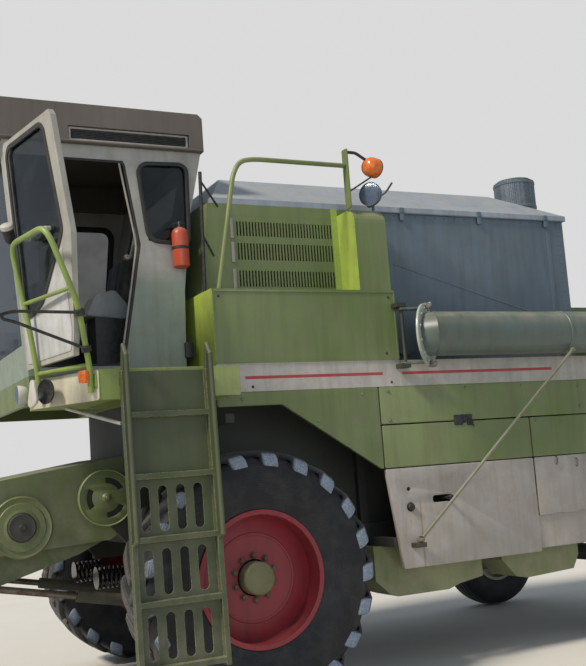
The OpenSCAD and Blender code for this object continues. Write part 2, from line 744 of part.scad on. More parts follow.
wedge_y = 480;
mouth_z0 = 612;
mouth_z1 = 1371;
module pin_hole(x, z, r) translate([x, -1000, z]) rotate([-90, 0, 0]) cylinder(h = 2000, r = r);
module feeder_housing() color(green) placed()
    difference() {
        union() {
            // Side plates, top and flange
            both() slab([
                [-feeder_front, mouth_z1], [-610, 1590], [-610, 1130], [-720, 1060], [-feeder_front, 985]
            ], feeder_y - 24, feeder_y);
            slab([
                [-feeder_front, mouth_z1 - 24], [-feeder_front, mouth_z1], [-610, 1590], [-610, 1566]
            ], -feeder_y, feeder_y);
            both() slab([
                [-feeder_front, 985], [-feeder_front, 1009], [-720, 1084], [-720, 1060]
            ], wedge_y - 24, feeder_y);
            // Bottom wedge
            both() slab([
                [-feeder_front, 1000], [-720, 1070], [-900, 980], [-1430, 830], [-feeder_front, mouth_z0]
            ], wedge_y - 24, wedge_y);
            slab([
                [-feeder_front, mouth_z0], [-1430, 830], [-900, 980], [-720, 1060], [-720, 1084],
                [-900, 1005], [-1430, 855], [-feeder_front, mouth_z0 + 25]
            ], -wedge_y, wedge_y);
            // Front flange
            difference() {
                box(-feeder_front - 50, -feeder_front, -feeder_y - 60, feeder_y + 60, 560, 1430);
                box(-feeder_front - 51, -feeder_front + 1, -wedge_y + 24, wedge_y - 24, mouth_z0 + 25,
                    1340);
            }
            // Ears for the lift cylinders
            both() for (s = [-1, 1])
                slab([
                    [lift_b[0] - 70, 1020], [lift_b[0] - 30, lift_b[1] - 35],
                        [lift_b[0] + 30, lift_b[1] - 35],
                    [lift_b[0] + 70, 1025]
                ], lift_y + s * 40 - lug_t / 2, lift_y + s * 40 + lug_t / 2);
            both() translate([lift_b[0], lift_y - 48, lift_b[1]]) rotate([-90, 0, 0])
                cylinder(h = 96, r = lift_pin);
        }
        pin_hole(-pivot_f, pivot_z, pin_r + run);
        // Hooks for the cutting table's coupling
        both() translate([-feeder_front - 60, feeder_y + 20, 1380]) rotate([0, 90, 0]) cylinder(h = 80,
            r = 16);
        both() translate([-feeder_front - 60, feeder_y + 20, 610]) rotate([0, 90, 0]) cylinder(h = 80,
            r = 16);
    }

drum_x = -2000;
drum_z = 1000;
chain_n = 11;
chain_in = wedge_y - 24;
module feeder_chain() color(dark) placed() {
    difference() {
        union() {
            translate([-pivot_f, -chain_in + 20, pivot_z]) rotate([-90, 0, 0])
                cylinder(h = 2 * chain_in - 40, r = 90);
            translate([drum_x, -chain_in + 20, drum_z]) rotate([-90, 0, 0])
                cylinder(h = 2 * chain_in - 40, r = 130);
            // Chain strands and slats
            for (y = [-chain_in + 60, -20, chain_in - 100])
                slab([
                    [drum_x, drum_z - 145], [drum_x, drum_z - 125], [-pivot_f, pivot_z - 80],
                        [-pivot_f, pivot_z - 100]
                ], y, y + 40);
            for (y = [-chain_in + 60, -20, chain_in - 100])
                slab([
                    [drum_x, drum_z + 145], [drum_x, drum_z + 125], [-pivot_f, pivot_z + 80],
                        [-pivot_f, pivot_z + 100]
                ], y, y + 40);
            for (i = [0 : chain_n - 1], s = [-1, 1]) {
                t = (i + 0.5) / chain_n;
                x = drum_x + t * (-pivot_f - drum_x);
                z = drum_z + s * 135 + t * (pivot_z + s * 90 - drum_z - s * 135);
                box(x - 18, x + 18, -chain_in + 30, chain_in - 30, z - 18, z + 18);
            }
        }
        pin_hole(-pivot_f, pivot_z, pin_r + run);
    }
    translate([drum_x, -chain_in, drum_z]) rotate([-90, 0, 0]) cylinder(h = 2 * chain_in, r = 25);
    for (a = [0 : 45 : 315])
        translate([drum_x, 0, drum_z]) rotate([0, a, 0]) box(120, 165, -chain_in + 30, chain_in - 30,
            -14, 14);
}

shaft_out = channel_y + ear_t + 90;
module feeder_drive() color(black) placed() {
    translate([-pivot_f, -shaft_out, pivot_z])
        rotate([-90, 0, 0]) cylinder(h = shaft_out + channel_y + ear_t + 20, r = pin_r);
    difference() {
        translate([-pivot_f, -channel_y - ear_t - 62, pivot_z]) rotate([-90, 0, 0]) cylinder(h = 50,
            r = 175);
        for (a = [0 : 60 : 300])
            translate([-pivot_f, 0, pivot_z]) rotate([0, a, 0]) translate([115, -800, 0])
                rotate([-90, 0, 0])
                cylinder(h = 300, r = 34);
    }
    translate([-1290, -feeder_y - 90, 1190]) rotate([-90, 0, 0]) cylinder(h = 90, r = 90);
}

spring_y = 300;
coil_r = 64;
wire_r = 11;
coil_n = 7;
module float_springs() color(black) placed() both() translate([-beam_half, spring_y, rail_z - 50]) {
    rotate([0, -90, 0]) cylinder(h = 660, r = 16);
    for (x = [-460, -460 - (coil_n + 1) * 20]) translate([x - 5, 0, 0])
        rotate([0, -90, 0]) cylinder(h = 10, r = 74);
    for (i = [0 : coil_n - 1])
        translate([-480 - i * 20, 0, 0]) rotate([0, 90, 0])
            rotate_extrude() translate([coil_r, 0]) circle(r = wire_r);
}

lift_d = [lift_b[0] - lift_a[0], 0, lift_b[1] - lift_a[1]];
lift_u = lift_d / norm(lift_d);
lift_root = [lift_a[0], lift_y, lift_a[1]];
lift_eye = [lift_b[0], lift_y, lift_b[1]];
module lift_barrel() {
    difference() {
        union() {
            rod(lift_root + 40 * lift_u, lift_root + 740 * lift_u, barrel_r);
            translate(lift_root - [0, 28, 0]) rotate([-90, 0, 0]) cylinder(h = 56, r = 32);
            rod(lift_root + 20 * lift_u, lift_root + 60 * lift_u, 26);
        }
        rod(lift_root + 130 * lift_u, lift_root + 741 * lift_u, rod_r + run);
    }
    translate(lift_root - [0, ear_off + lug_t, 0]) rotate([-90, 0, 0])
        cylinder(h = 2 * (ear_off + lug_t), r = lift_pin);
}
module lift_rod()
    difference() {
        union() {
            rod(lift_root + 420 * lift_u, lift_eye - 20 * lift_u, rod_r);
            translate(lift_eye - [0, 26, 0]) rotate([-90, 0, 0]) cylinder(h = 52, r = 34);
        }
        translate(lift_eye - [0, 60, 0]) rotate([-90, 0, 0]) cylinder(h = 120, r = lift_pin + 4);
    }
module lift_barrel_left() color(dark) placed() mirror([0, 1, 0]) lift_barrel();
module lift_barrel_right() color(dark) placed() lift_barrel();
module lift_rod_left() color(grey) placed() mirror([0, 1, 0]) lift_rod();
module lift_rod_right() color(grey) placed() lift_rod();

// Front wheels

hub_in = tyre_out - tyre_w + 10;
mid_y = tyre_out - tyre_w / 2;
bead_r = rim_r - 18;
// Half of a tyre's section for radius r, width w, bead radius b and flange radius f
function half_tyre(r, w, b, f) = [
    [b + run, w * 0.40], [f + 1, w * 0.40], [f + (r - f) * 0.10, w * 0.455], [f + (r - f) * 0.42, w * 0.5],
    [f + (r - f) * 0.70, w * 0.49], [f + (r - f) * 0.90, w * 0.44], [r - 5, w * 0.26], [r, 0]
];
function whole(h) = concat(h, [for (i = [len(h) - 2 : -1 : 0]) [h[i][0], -h[i][1]]]);
// A rim's barrel with its two flanges, for the same sizes
module barrel(w, b, f, t)
    turned([
        [f, w * 0.40 + t], [f, w * 0.40 + run], [b, w * 0.40 + run], [b, -w * 0.40 - run],
        [f, -w * 0.40 - run], [f, -w * 0.40 - t], [b - t, -w * 0.40 - t], [b - t, w * 0.40 + t]
    ]);

module front_tyre() translate([0, mid_y, tyre_r]) {
    carcass_r = tyre_r - lug_h;
    turned(whole(half_tyre(carcass_r, tyre_w, bead_r, rim_r)));
    // Lugs: slanted bars from the middle of the tread to the shoulder
    for (s = [0, 1], i = [0 : lug_n - 1])
        rotate([0, (i + s / 2) * 360 / lug_n, 0]) mirror([0, s, 0])
            translate([0, 0, carcass_r - 16])
                linear_extrude(lug_h + 12)
                    polygon([[-84, -4], [-44, -4], [84, tyre_w / 2 - 6], [34, tyre_w / 2 - 6]]);
}
module front_tyre_left() color(black) placed() mirror([0, 1, 0]) front_tyre();
module front_tyre_right() color(black) placed() front_tyre();

module front_rim() translate([0, mid_y, tyre_r]) {
    face = tyre_w / 2 - dish;
    barrel(tyre_w, bead_r, rim_r, 12);
    turned([[0, face], [0, face - 24], [bead_r - 6, face - 50], [bead_r - 6, face - 26], [250, face]]);
    turned([[0, face + 90], [60, face + 90], [92, face + 66], [100, face - 2], [0, face - 2]]);
    turned([[0, face - 20], [190, face - 20], [190, hub_in - mid_y + run], [0, hub_in - mid_y + run]]);
}
module front_rim_left() color(red) placed() mirror([0, 1, 0]) front_rim();
module front_rim_right() color(red) placed() front_rim();

// Rear axle and steering

beam_z = rear_r + 90;
king_r = 24;
module rear_axle() color(dark) placed() {
    box(wheelbase - 60, wheelbase + 60, 80 - king_y, king_y - 80, beam_z - 60, beam_z + 60);
    // Pivot bracket up to the body
    for (s = [-1, 1]) box(wheelbase + s * 90 - 25, wheelbase + s * 90 + 25, -200, 200, beam_z + 20,
        hood_z - 60);
    translate([wheelbase - 115, 0, beam_z + 110]) rotate([0, 90, 0]) cylinder(h = 230, r = 60);
    box(wheelbase - 300, wheelbase + 300, -hood_y, hood_y, hood_z - 70, hood_z);
    // Fork for the kingpin
    both() difference() {
        union() {
            for (z = [beam_z + 62, beam_z - 92])
                box(wheelbase - 36, wheelbase + 36, king_y - 130, king_y + 28, z, z + 30);
            box(wheelbase - 50, wheelbase + 50, king_y - 150, king_y - 80, beam_z - 92, beam_z + 92);
        }
        translate([wheelbase, king_y, beam_z - 200]) cylinder(h = 400, r = king_r + run);
    }
}

arm_x = 190;
arm_z = beam_z - 25;
ball_r = 12;
module knuckle() {
    difference() {
        union() {
            translate([wheelbase, king_y, beam_z - 100]) cylinder(h = 200, r = king_r);
            box(wheelbase - 36, wheelbase + 36, king_y - 36, king_y + 36, beam_z - 61, beam_z + 61);
            box(wheelbase - 36, wheelbase + 36, king_y + 52, king_y + 95, rear_r - 40, beam_z + 40);
            box(wheelbase - 36, wheelbase + 36, king_y + 20, king_y + 60, beam_z - 50, beam_z + 40);
            translate([wheelbase, king_y + 80, rear_r]) rotate([-90, 0, 0]) cylinder(h = king_off - 10,
                r = 30);
            // Steering arm, ahead of the beam
            slab([
                [wheelbase, arm_z], [wheelbase - arm_x - 25, arm_z],
                    [wheelbase - arm_x - 25, arm_z + 25], [wheelbase, arm_z + 25]
            ], king_y - 20, king_y + 20);
        }
        translate([wheelbase - arm_x, king_y, arm_z - 50]) cylinder(h = 120, r = ball_r + run);
    }
}
module knuckle_left() color(dark) placed() mirror([0, 1, 0]) knuckle();
module knuckle_right() color(dark) placed() knuckle();

module tie_rod() color(dark) placed() {
    rod([wheelbase - arm_x, -king_y, arm_z + 46], [wheelbase - arm_x, king_y, arm_z + 46], 15);
    both() translate([wheelbase - arm_x, king_y, arm_z - 8]) cylinder(h = 70, r = ball_r);
    both() translate([wheelbase - arm_x, king_y, arm_z + 28]) cylinder(h = 34, r = 22);
}

// Hitch and lamps

hitch_x = wheelbase + 160;
hitch_z = hood_z - 60;
module hitch() color(dark) placed() {
    difference() {
        union() {
            box(wheelbase + 300, hitch_x + 350, -60, 60, hitch_z, hitch_z + 25);
            box(wheelbase + 300, hitch_x + 350, -60, 60, hitch_z - 85, hitch_z - 60);
            box(wheelbase + 300, hitch_x + 150, -60, 60, hitch_z - 85, hitch_z + 25);
        }
        translate([hitch_x + 300, 0, hitch_z - 100]) cylinder(h = 150, r = 16);
    }
}

module road_lamps() color("#9c2c22") placed() both() {
    translate([cab_x0 - 60, cab_y - 80, 1990]) rotate([0, 90, 0]) cylinder(h = 60, r1 = 58, r2 = 46);
    box(hood_end, hood_end + 45, hood_y - 130, hood_y - 20, 1560, 1640);
}

rear_bead = 215;
module rear_tyre() translate([wheelbase, king_y + king_off, rear_r])
    turned(whole(half_tyre(rear_r, rear_w, rear_bead, rear_bead + 16)));
module rear_rim() translate([wheelbase, king_y + king_off, rear_r]) {
    barrel(rear_w, rear_bead, rear_bead + 16, 9);
    turned([[30 + run, 20], [rear_bead - 5, 20], [rear_bead - 5, 32], [80, 50], [70, 90], [30 + run, 90]]);
}
module rear_tyre_left() color(black) placed() mirror([0, 1, 0]) rear_tyre();
module rear_tyre_right() color(black) placed() rear_tyre();
module rear_rim_left() color(cream) placed() mirror([0, 1, 0]) rear_rim();
module rear_rim_right() color(cream) placed() rear_rim();

threshing_body();
main_frame();
front_axle();
rear_axle();
auger_troughs();
side_panels();
side_shields();
rear_shields();
ledges();
straw_hood();
straw_walkers();
engine_housing();
louvres();
engine();
grain_tank();
tank_cover();
intake_screen();
service_rail();
beacon();
work_lamp();
cab_base();
cab_left();
cab_right();
cab_front();
cab_rear();
cab_roof();
cab_glass();
seat();
steering_column();
deck();
ladder();
guard_rail();
mirrors();
extinguisher();
cab_door();
door_glass();
unload_tube();
stay_bar();
feeder_housing();
feeder_chain();
feeder_drive();
float_springs();
lift_barrel_left();
lift_barrel_right();
lift_rod_left();
lift_rod_right();
front_tyre_left();
front_tyre_right();
front_rim_left();
front_rim_right();
knuckle_left();
knuckle_right();
tie_rod();
rear_tyre_left();
rear_tyre_right();
rear_rim_left();
rear_rim_right();
hitch();
road_lamps();
tube_hinge();
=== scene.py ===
"""The looks of a combine harvester, piece by piece, in the order in which it is put together."""

import math
import random

import bmesh
import bpy
from mathutils import Matrix, Vector


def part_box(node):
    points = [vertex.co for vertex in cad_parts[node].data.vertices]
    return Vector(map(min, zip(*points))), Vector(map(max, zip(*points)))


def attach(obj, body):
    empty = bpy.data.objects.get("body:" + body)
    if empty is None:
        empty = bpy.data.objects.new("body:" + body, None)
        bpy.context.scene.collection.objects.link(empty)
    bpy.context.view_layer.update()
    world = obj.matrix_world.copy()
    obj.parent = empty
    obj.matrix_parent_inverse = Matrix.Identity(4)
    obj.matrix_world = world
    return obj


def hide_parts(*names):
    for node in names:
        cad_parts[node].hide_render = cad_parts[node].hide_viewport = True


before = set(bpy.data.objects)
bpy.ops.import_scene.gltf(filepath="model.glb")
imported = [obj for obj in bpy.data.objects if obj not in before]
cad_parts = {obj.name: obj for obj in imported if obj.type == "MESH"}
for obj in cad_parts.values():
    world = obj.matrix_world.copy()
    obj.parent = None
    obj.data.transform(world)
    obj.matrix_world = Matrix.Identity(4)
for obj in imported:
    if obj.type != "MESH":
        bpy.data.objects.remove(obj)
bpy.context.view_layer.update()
scene = bpy.context.scene
scene.view_settings.view_transform = "Standard"

# Camera and stage
# The harvester stands on a pale floor. It is seen from in front of its left side, from about the
# height of its front wheels. Places along it are measured from the front axle, as its drawings do.

wheel_lo, wheel_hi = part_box("front_tyre_left")
axle_x = (wheel_lo.x + wheel_hi.x) / 2
tyre_r = wheel_hi.z / 2


def at(x, y, z):
    """A place measured from the ground under the middle of the front axle."""
    return Vector((axle_x + x, y, z))


eye = at(-2.4998, -6.9858, 1.4603)
eye_right = Vector((0.89651, -0.43700, -0.07281))
eye_up = Vector((0.00842, -0.14752, 0.98902))
eye_turn = Matrix((eye_right, eye_up, eye_right.cross(eye_up))).transposed()
lens = bpy.data.cameras.new("photo_lens")
lens.lens = 54.05
lens.clip_end = 90
camera = bpy.data.objects.new("photo_camera", lens)
camera.matrix_world = Matrix.Translation(eye) @ eye_turn.to_4x4()
scene.collection.objects.link(camera)
scene.camera = camera


def linear(code):
    """A colour written as sRGB hex, in the linear light that the shaders take."""
    parts = [int(code[i : i + 2], 16) / 255 for i in (1, 3, 5)]
    return [c / 12.92 if c <= 0.04045 else ((c + 0.055) / 1.055) ** 2.4 for c in parts] + [1.0]


def add(tree, kind, inputs=None, **settings):
    """Adds a node with its settings. inputs gives a value, or the output to link, for each socket."""
    made = tree.nodes.new("ShaderNode" + kind)
    for name, value in settings.items():
        setattr(made, name, value)
    for socket, value in (inputs or {}).items():
        if isinstance(value, bpy.types.NodeSocket):
            tree.links.new(value, made.inputs[socket])
        else:
            made.inputs[socket].default_value = value
    return made


def blank(name):
    """A new material with an empty node tree."""
    made = bpy.data.materials.new(name)
    made.use_nodes = True
    made.node_tree.nodes.clear()
    return made, made.node_tree


def grain(millimetres):
    """The noise scale whose lumps are about this wide."""
    return 1000 / millimetres


# Smooth poured floor: pale and dull, with faint cloudy patches
floor_finish, tree = blank("poured_floor")
place = add(tree, "TexCoord").outputs["Object"]
patches = add(tree, "TexNoise", {"Scale": grain(700), "Detail": 4.0, "Vector": place}).outputs[0]
tones = {0: patches, 6: linear("#cfccc5"), 7: linear("#dcd9d2")}
tone = add(tree, "Mix", tones, data_type="RGBA").outputs[2]
pour = add(tree, "BsdfPrincipled", {"Base Color": tone, "Roughness": 0.9})
add(tree, "OutputMaterial", {"Surface": pour.outputs[0]})
reach = 45
below_tyres = 0.001
floor_mesh = bpy.data.meshes.new("floor")
corners = [(-reach, -reach, 0), (reach, -reach, 0), (reach, reach, 0), (-reach, reach, 0)]
floor_mesh.from_pydata(corners, [], [(0, 1, 2, 3)])
floor_mesh.materials.append(floor_finish)
floor = bpy.data.objects.new("floor", floor_mesh)
floor.location.z = -below_tyres
scene.collection.objects.link(floor)

# Pale walls all round: the eye sees them, also through glass, and the light they give is a little blue
world = bpy.data.worlds.new("studio")
scene.world = world
world.use_nodes = True
tree = world.node_tree
tree.nodes.clear()
path = add(tree, "LightPath").outputs
seen = add(tree, "Math", {0: path["Is Camera Ray"], 1: path["Is Transmission Ray"]}, operation="MAXIMUM")
walls = add(tree, "Background", {"Color": linear("#dfe0df"), "Strength": 0.95})
glow = add(tree, "Background", {"Color": linear("#dbe6f4"), "Strength": 0.46})
both_ways = add(tree, "MixShader", {0: seen.outputs[0], 1: glow.outputs[0], 2: walls.outputs[0]})
add(tree, "OutputWorld", {"Surface": both_ways.outputs[0]})

# Daylight from the open front, and a weak fill from the eye's side
for name, power, spread, towards, tint in (
    ("front_light", 3.4, 10, (1.0, 0.24, -1.0), "#fff5e6"),
    ("side_fill", 0.5, 30, (0.25, 1.0, -0.15), "#dfe9f6"),
):
    sun = bpy.data.lights.new(name, "SUN")
    sun.energy = power
    sun.angle = math.radians(spread)
    sun.color = linear(tint)[:3]
    lamp = bpy.data.objects.new(name, sun)
    lamp.rotation_euler = Vector(towards).to_track_quat("-Z", "Y").to_euler()
    scene.collection.objects.link(lamp)

# Threshing body and frame
# Folded and welded sheet steel on box-section rails. It was sprayed with green enamel, which the
# sun has faded in patches, and dust lies on it, thickest near the ground.


def painted(
    name,
    coat,
    faded,
    rough=0.45,
    dust=0.35,
    chips=0.3,
    rust="#6b4630",
    soil="#a39a86",
    bands=(),
    dents=0.006,
    worn_and_lit_edge_colour=None,
):
    """Sprayed enamel on steel: sun-faded patches, run marks, chipped edges with rust, and settled dust.
    bands are painted stripes, and patches of painted light where the sun falls: (x0, x1, z0, z1, colour,
    edge), in metres from the front axle. The last argument is the colour on the edges: wear that hands and
    boots leave, and painted highlight where light catches them."""
    made, tree = blank(name)
    place = add(tree, "TexCoord").outputs["Object"]
    axes = add(tree, "SeparateXYZ", {0: place}).outputs
    normal = add(tree, "NewGeometry").outputs["Normal"]
    soft = add(tree, "Bevel", {"Radius": 0.004}, samples=4).outputs[0]
    turn = add(tree, "VectorMath", {0: soft, 1: normal}, operation="DOT_PRODUCT").outputs["Value"]
    edge = add(tree, "MapRange", {0: turn, 1: 0.998, 2: 0.86}).outputs[0]
    # Fading in patches of about a metre, run marks two fingers wide, grime of 140 mm and flecks of 16 mm
    fade = add(tree, "TexNoise", {"Vector": place, "Scale": grain(900), "Detail": 3.0}).outputs[0]
    fade = add(tree, "MapRange", {0: fade, 1: 0.36, 2: 0.64}).outputs[0]
    across, down = grain(55.56), grain(625)
    drawn = add(tree, "Mapping", {"Vector": place, "Scale": (across, across, down)}).outputs[0]
    runs = {"Vector": drawn, "Scale": 1.0, "Detail": 5.0, "Roughness": 0.6}
    runs = add(tree, "TexNoise", runs).outputs[0]
    runs = add(tree, "MapRange", {0: runs, 1: 0.45, 2: 0.8}).outputs[0]
    runs = add(tree, "Math", {0: runs, 1: 0.45}, operation="MULTIPLY").outputs[0]
    grime = {"Vector": place, "Scale": grain(140), "Detail": 6.0, "Roughness": 0.65}
    grime = add(tree, "TexNoise", grime).outputs[0]
    grime_share = add(tree, "MapRange", {0: grime, 1: 0.35, 2: 0.75, 4: 0.35}).outputs[0]
    fleck = {"Vector": place, "Scale": grain(16), "Detail": 3.0, "Roughness": 0.6}
    fleck = add(tree, "TexNoise", fleck).outputs[0]
    layers = []
    for x0, x1, z0, z1, stripe, width in bands:
        inside = 1.0
        for value, low, high in ((axes[0], axle_x + x0, axle_x + x1), (axes[2], z0, z1)):
            rise = {0: value, 1: low - width, 2: low + width}
            fall = {0: value, 1: high - width, 2: high + width, 3: 1.0, 4: 0.0}
            for ramp in (rise, fall):
                ramp = add(tree, "MapRange", ramp).outputs[0]
                inside = add(tree, "Math", {0: inside, 1: ramp}, operation="MULTIPLY").outputs[0]
        layers.append((inside, linear(stripe), "MIX"))
    layers += [(runs, linear("#b9b09c"), "MULTIPLY"), (grime_share, linear("#8f8b7e"), "MULTIPLY")]
    # Edge colour: wear from hands and boots, with painted highlight where light catches the edges
    if worn_and_lit_edge_colour:
        bright = add(tree, "MapRange", {0: grime, 1: 0.3, 2: 0.6, 3: 0.25, 4: 0.95}).outputs[0]
        bright = add(tree, "Math", {0: bright, 1: edge}, operation="MULTIPLY").outputs[0]
        layers.append((bright, linear(worn_and_lit_edge_colour), "MIX"))
    # Chips: the flecks that stand over a limit, which is lower along the edges
    worn = add(tree, "Math", {0: edge, 1: 0.16, 2: fleck}, operation="MULTIPLY_ADD").outputs[0]
    worn = add(tree, "Math", {0: grime, 1: 0.25, 2: worn}, operation="MULTIPLY_ADD").outputs[0]
    limit = 0.9 - 0.1 * chips
    worn = add(tree, "MapRange", {0: worn, 1: limit, 2: limit + 0.03}).outputs[0]
    bare = {0: fleck, 6: linear("#3e2c22"), 7: linear(rust)}
    layers.append((worn, add(tree, "Mix", bare, data_type="RGBA").outputs[2], "MIX"))
    # Dust: on what faces up, and near the ground
    up = add(tree, "SeparateXYZ", {0: normal}).outputs[2]
    up = add(tree, "MapRange", {0: up, 1: 0.2, 2: 0.95}).outputs[0]
    low = add(tree, "MapRange", {0: axes[2], 1: 1.5, 2: 0.5, 4: 0.5}).outputs[0]
    lies = add(tree, "Math", {0: up, 1: low}, operation="ADD").outputs[0]
    lies = add(tree, "Math", {0: lies, 1: 0.22}, operation="ADD").outputs[0]
    patchy = add(tree, "MapRange", {0: grime, 1: 0.3, 2: 0.62, 4: dust * 1.5}).outputs[0]
    lies = add(tree, "Math", {0: lies, 1: patchy}, operation="MULTIPLY", use_clamp=True).outputs[0]
    layers.append((lies, linear(soil), "MIX"))
    # Each layer covers what lies under it by its share
    coats = {0: fade, 6: linear(coat), 7: linear(faded)}
    colour = add(tree, "Mix", coats, data_type="RGBA").outputs[2]
    for share, over, blend in layers:
        mix = {0: share, 6: colour, 7: over}
        colour = add(tree, "Mix", mix, data_type="RGBA", blend_type=blend).outputs[2]
    matt = add(tree, "Math", {0: lies, 1: 0.45, 2: rough}, operation="MULTIPLY_ADD").outputs[0]
    matt = add(tree, "Math", {0: worn, 1: 0.3, 2: matt}, operation="MULTIPLY_ADD", use_clamp=True).outputs[0]
    # Hand-wide dents in the sheet, the orange peel of the spray, and the step at each chip
    wave = add(tree, "TexNoise", {"Vector": place, "Scale": grain(420), "Detail": 1.0}).outputs[0]
    bent = {"Strength": 1.0, "Distance": dents, "Height": wave, "Normal": soft}
    bent = add(tree, "Bump", bent).outputs[0]
    peel = add(tree, "TexNoise", {"Vector": place, "Scale": grain(5), "Detail": 2.0}).outputs[0]
    peel = add(tree, "Math", {0: worn, 1: -0.9, 2: peel}, operation="MULTIPLY_ADD").outputs[0]
    skin = {"Strength": 0.5, "Distance": 0.0006, "Height": peel, "Normal": bent}
    skin = add(tree, "Bump", skin).outputs[0]
    enamel = {"Base Color": colour, "Roughness": matt, "Normal": skin, "IOR": 1.5}
    add(tree, "OutputMaterial", {"Surface": add(tree, "BsdfPrincipled", enamel).outputs[0]})
    return made


def dress(finish, *nodes):
    """Gives a finish to nodes that keep their own shape."""
    for node in nodes:
        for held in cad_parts[node].material_slots:
            held.material = finish


# Mid green enamel, half matt, and paler where the sun has bleached it
GREEN = ("#5c6f3a", "#718053")
green = painted("green_enamel", *GREEN)
dress(green, "straw_hood")

# The same enamel near the ground: duller with dust, and more chipped
low_green = painted("green_enamel_low_down", "#5f7038", "#737f50", dust=0.45, chips=0.5)
dress(low_green, "auger_troughs")

# In the wheel wells the body and frame are painted nearly black: painted shade, for the deep shadow there
shaded_green = painted("green_enamel_painted_shade", "#252b28", "#343a36", rough=0.6, chips=0.6, soil="#5f584b")
dress(shaded_green, "threshing_body", "main_frame")

# Chassis parts were dipped in dark green primer, and are black with grease and chaff
primer = painted("greasy_primer", "#262c20", "#3a3d30", rough=0.6, dust=0.3, chips=0.5, soil="#6f685a")
dress(primer, "front_axle", "rear_axle", "hitch", "tube_hinge", "tie_rod")
dress(primer, "knuckle_left", "knuckle_right", "lift_barrel_left", "lift_barrel_right")

# Side sheets
# Folded steel sheets hang on the frame posts with a finger's gap between them: green ones above,
# and below them white shields, with a hole for a plug, a hand hole and a lever in its slot.

SHARP = math.radians(35)
SHEET_CORNER = 0.012
ACROSS = Matrix.Diagonal((1, -1, 1, 1))
OUT = (0, -1, 0)
FORWARD = (-1, 0, 0)
BACK = (1, 0, 0)


def rounded(corners, radius, steps=5, loop=True):
    """The corners of a line or loop, each turned into a short curve."""
    line = []
    count = len(corners)
    for i, corner in enumerate(corners):
        here = Vector(corner)
        if not loop and i in (0, count - 1):
            line.append(here)
            continue
        back, ahead = Vector(corners[i - 1]) - here, Vector(corners[(i + 1) % count]) - here
        reach = min(radius, back.length / 2.02, ahead.length / 2.02)
        start, end = here + back.normalized() * reach, here + ahead.normalized() * reach
        for k in range(steps + 1):
            t = k / steps
            line.append(start * (1 - t) ** 2 + here * 2 * t * (1 - t) + end * t * t)
    return line


def oblong(x0, z0, x1, z1):
    """The outline of a rectangle."""
    return [(x0, z0), (x1, z0), (x1, z1), (x0, z1)]


def ring(x, z, radius, count=28):
    """A round outline."""
    turn = [a * math.tau / count for a in range(count)]
    return [(x + radius * math.cos(a), z + radius * math.sin(a)) for a in turn]


def baked(body, name):
    """The mesh of a bmesh, with its faces turned outwards."""
    bmesh.ops.recalc_face_normals(body, faces=body.faces)
    mesh = bpy.data.meshes.new(name)
    body.to_mesh(mesh)
    body.free()
    return mesh


def as_mesh(curve):
    """Turns a curve into a mesh whose faces share their corners."""
    holder = bpy.data.objects.new("holder", curve)
    drawn = bpy.data.meshes.new_from_object(holder)
    bpy.data.objects.remove(holder)
    bpy.data.curves.remove(curve)
    body = bmesh.new()
    body.from_mesh(drawn)
    bpy.data.meshes.remove(drawn)
    bmesh.ops.remove_doubles(body, verts=body.verts, dist=1e-5)
    return baked(body, "drawn")


def plate(outlines, thick, soft=0.003):
    """A flat piece cut to outlines[0] with the others as holes. It is drawn in X and Y and centred on Z."""
    cut = bpy.data.curves.new("cut", "CURVE")
    cut.dimensions = "2D"
    cut.fill_mode = "BOTH"
    cut.extrude = thick / 2 - soft
    cut.bevel_depth = soft
    cut.bevel_resolution = 1
    cut.offset = -soft
    for outline in outlines:
        line = cut.splines.new("POLY")
        line.points.add(len(outline) - 1)
        for point, (u, v) in zip(line.points, outline):
            point.co = (u, v, 0, 1)
        line.use_cyclic_u = True
    return as_mesh(cut)


def slab(outline, corner, thick, soft=0.003, steps=5):
    """A flat piece with rounded corners and no holes."""
    return plate([rounded(outline, corner, steps)], thick, soft)


def facing(origin, direction):
    """A place whose Z looks along direction and whose Y points up as far as it can."""
    return Matrix.Translation(origin) @ Vector(direction).to_track_quat("Z", "Y").to_matrix().to_4x4()


def outside(x, y, z):
    """A place on the left side, y out from the machine's middle, that looks outwards."""
    return facing(at(x, -y, z), OUT)


def joined(parts):
    """One mesh from many. A part is a mesh, or a mesh and its place."""
    whole = bmesh.new()
    for part in parts:
        mesh, place = part if isinstance(part, tuple) else (part, Matrix())
        moved = mesh.copy()
        moved.transform(place)
        if place.determinant() < 0:
            moved.flip_normals()
        whole.from_mesh(moved)
        bpy.data.meshes.remove(moved)
    made = bpy.data.meshes.new("joined")
    whole.to_mesh(made)
    whole.free()
    return made


def piece(name, mesh, finish, replaces=(), rides="machine", place=None):
    """Puts a finished mesh on the machine: its finish, the nodes it stands for and what it rides on."""
    if place:
        mesh = joined([(mesh, place)])
    mesh.name = name
    mesh.materials.clear()
    mesh.materials.append(finish)
    mesh.shade_smooth()
    mesh.set_sharp_from_angle(angle=SHARP)
    made = bpy.data.objects.new(name, mesh)
    scene.collection.objects.link(made)
    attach(made, rides)
    if replaces:
        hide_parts(*replaces)
    return made


def pair(name, mesh, finish, replaces=(), rides="machine", place=None):
    """A piece on the left side and its mirror image on the right. Their wheels are named without a side."""
    if place:
        mesh = joined([(mesh, place)])
    for hand, shape in (("left", mesh), ("right", joined([(mesh, ACROSS)]))):
        body = rides if rides == "machine" else f"{rides}_{hand}"
        piece(f"{name}_{hand}", shape, finish, replaces, body)


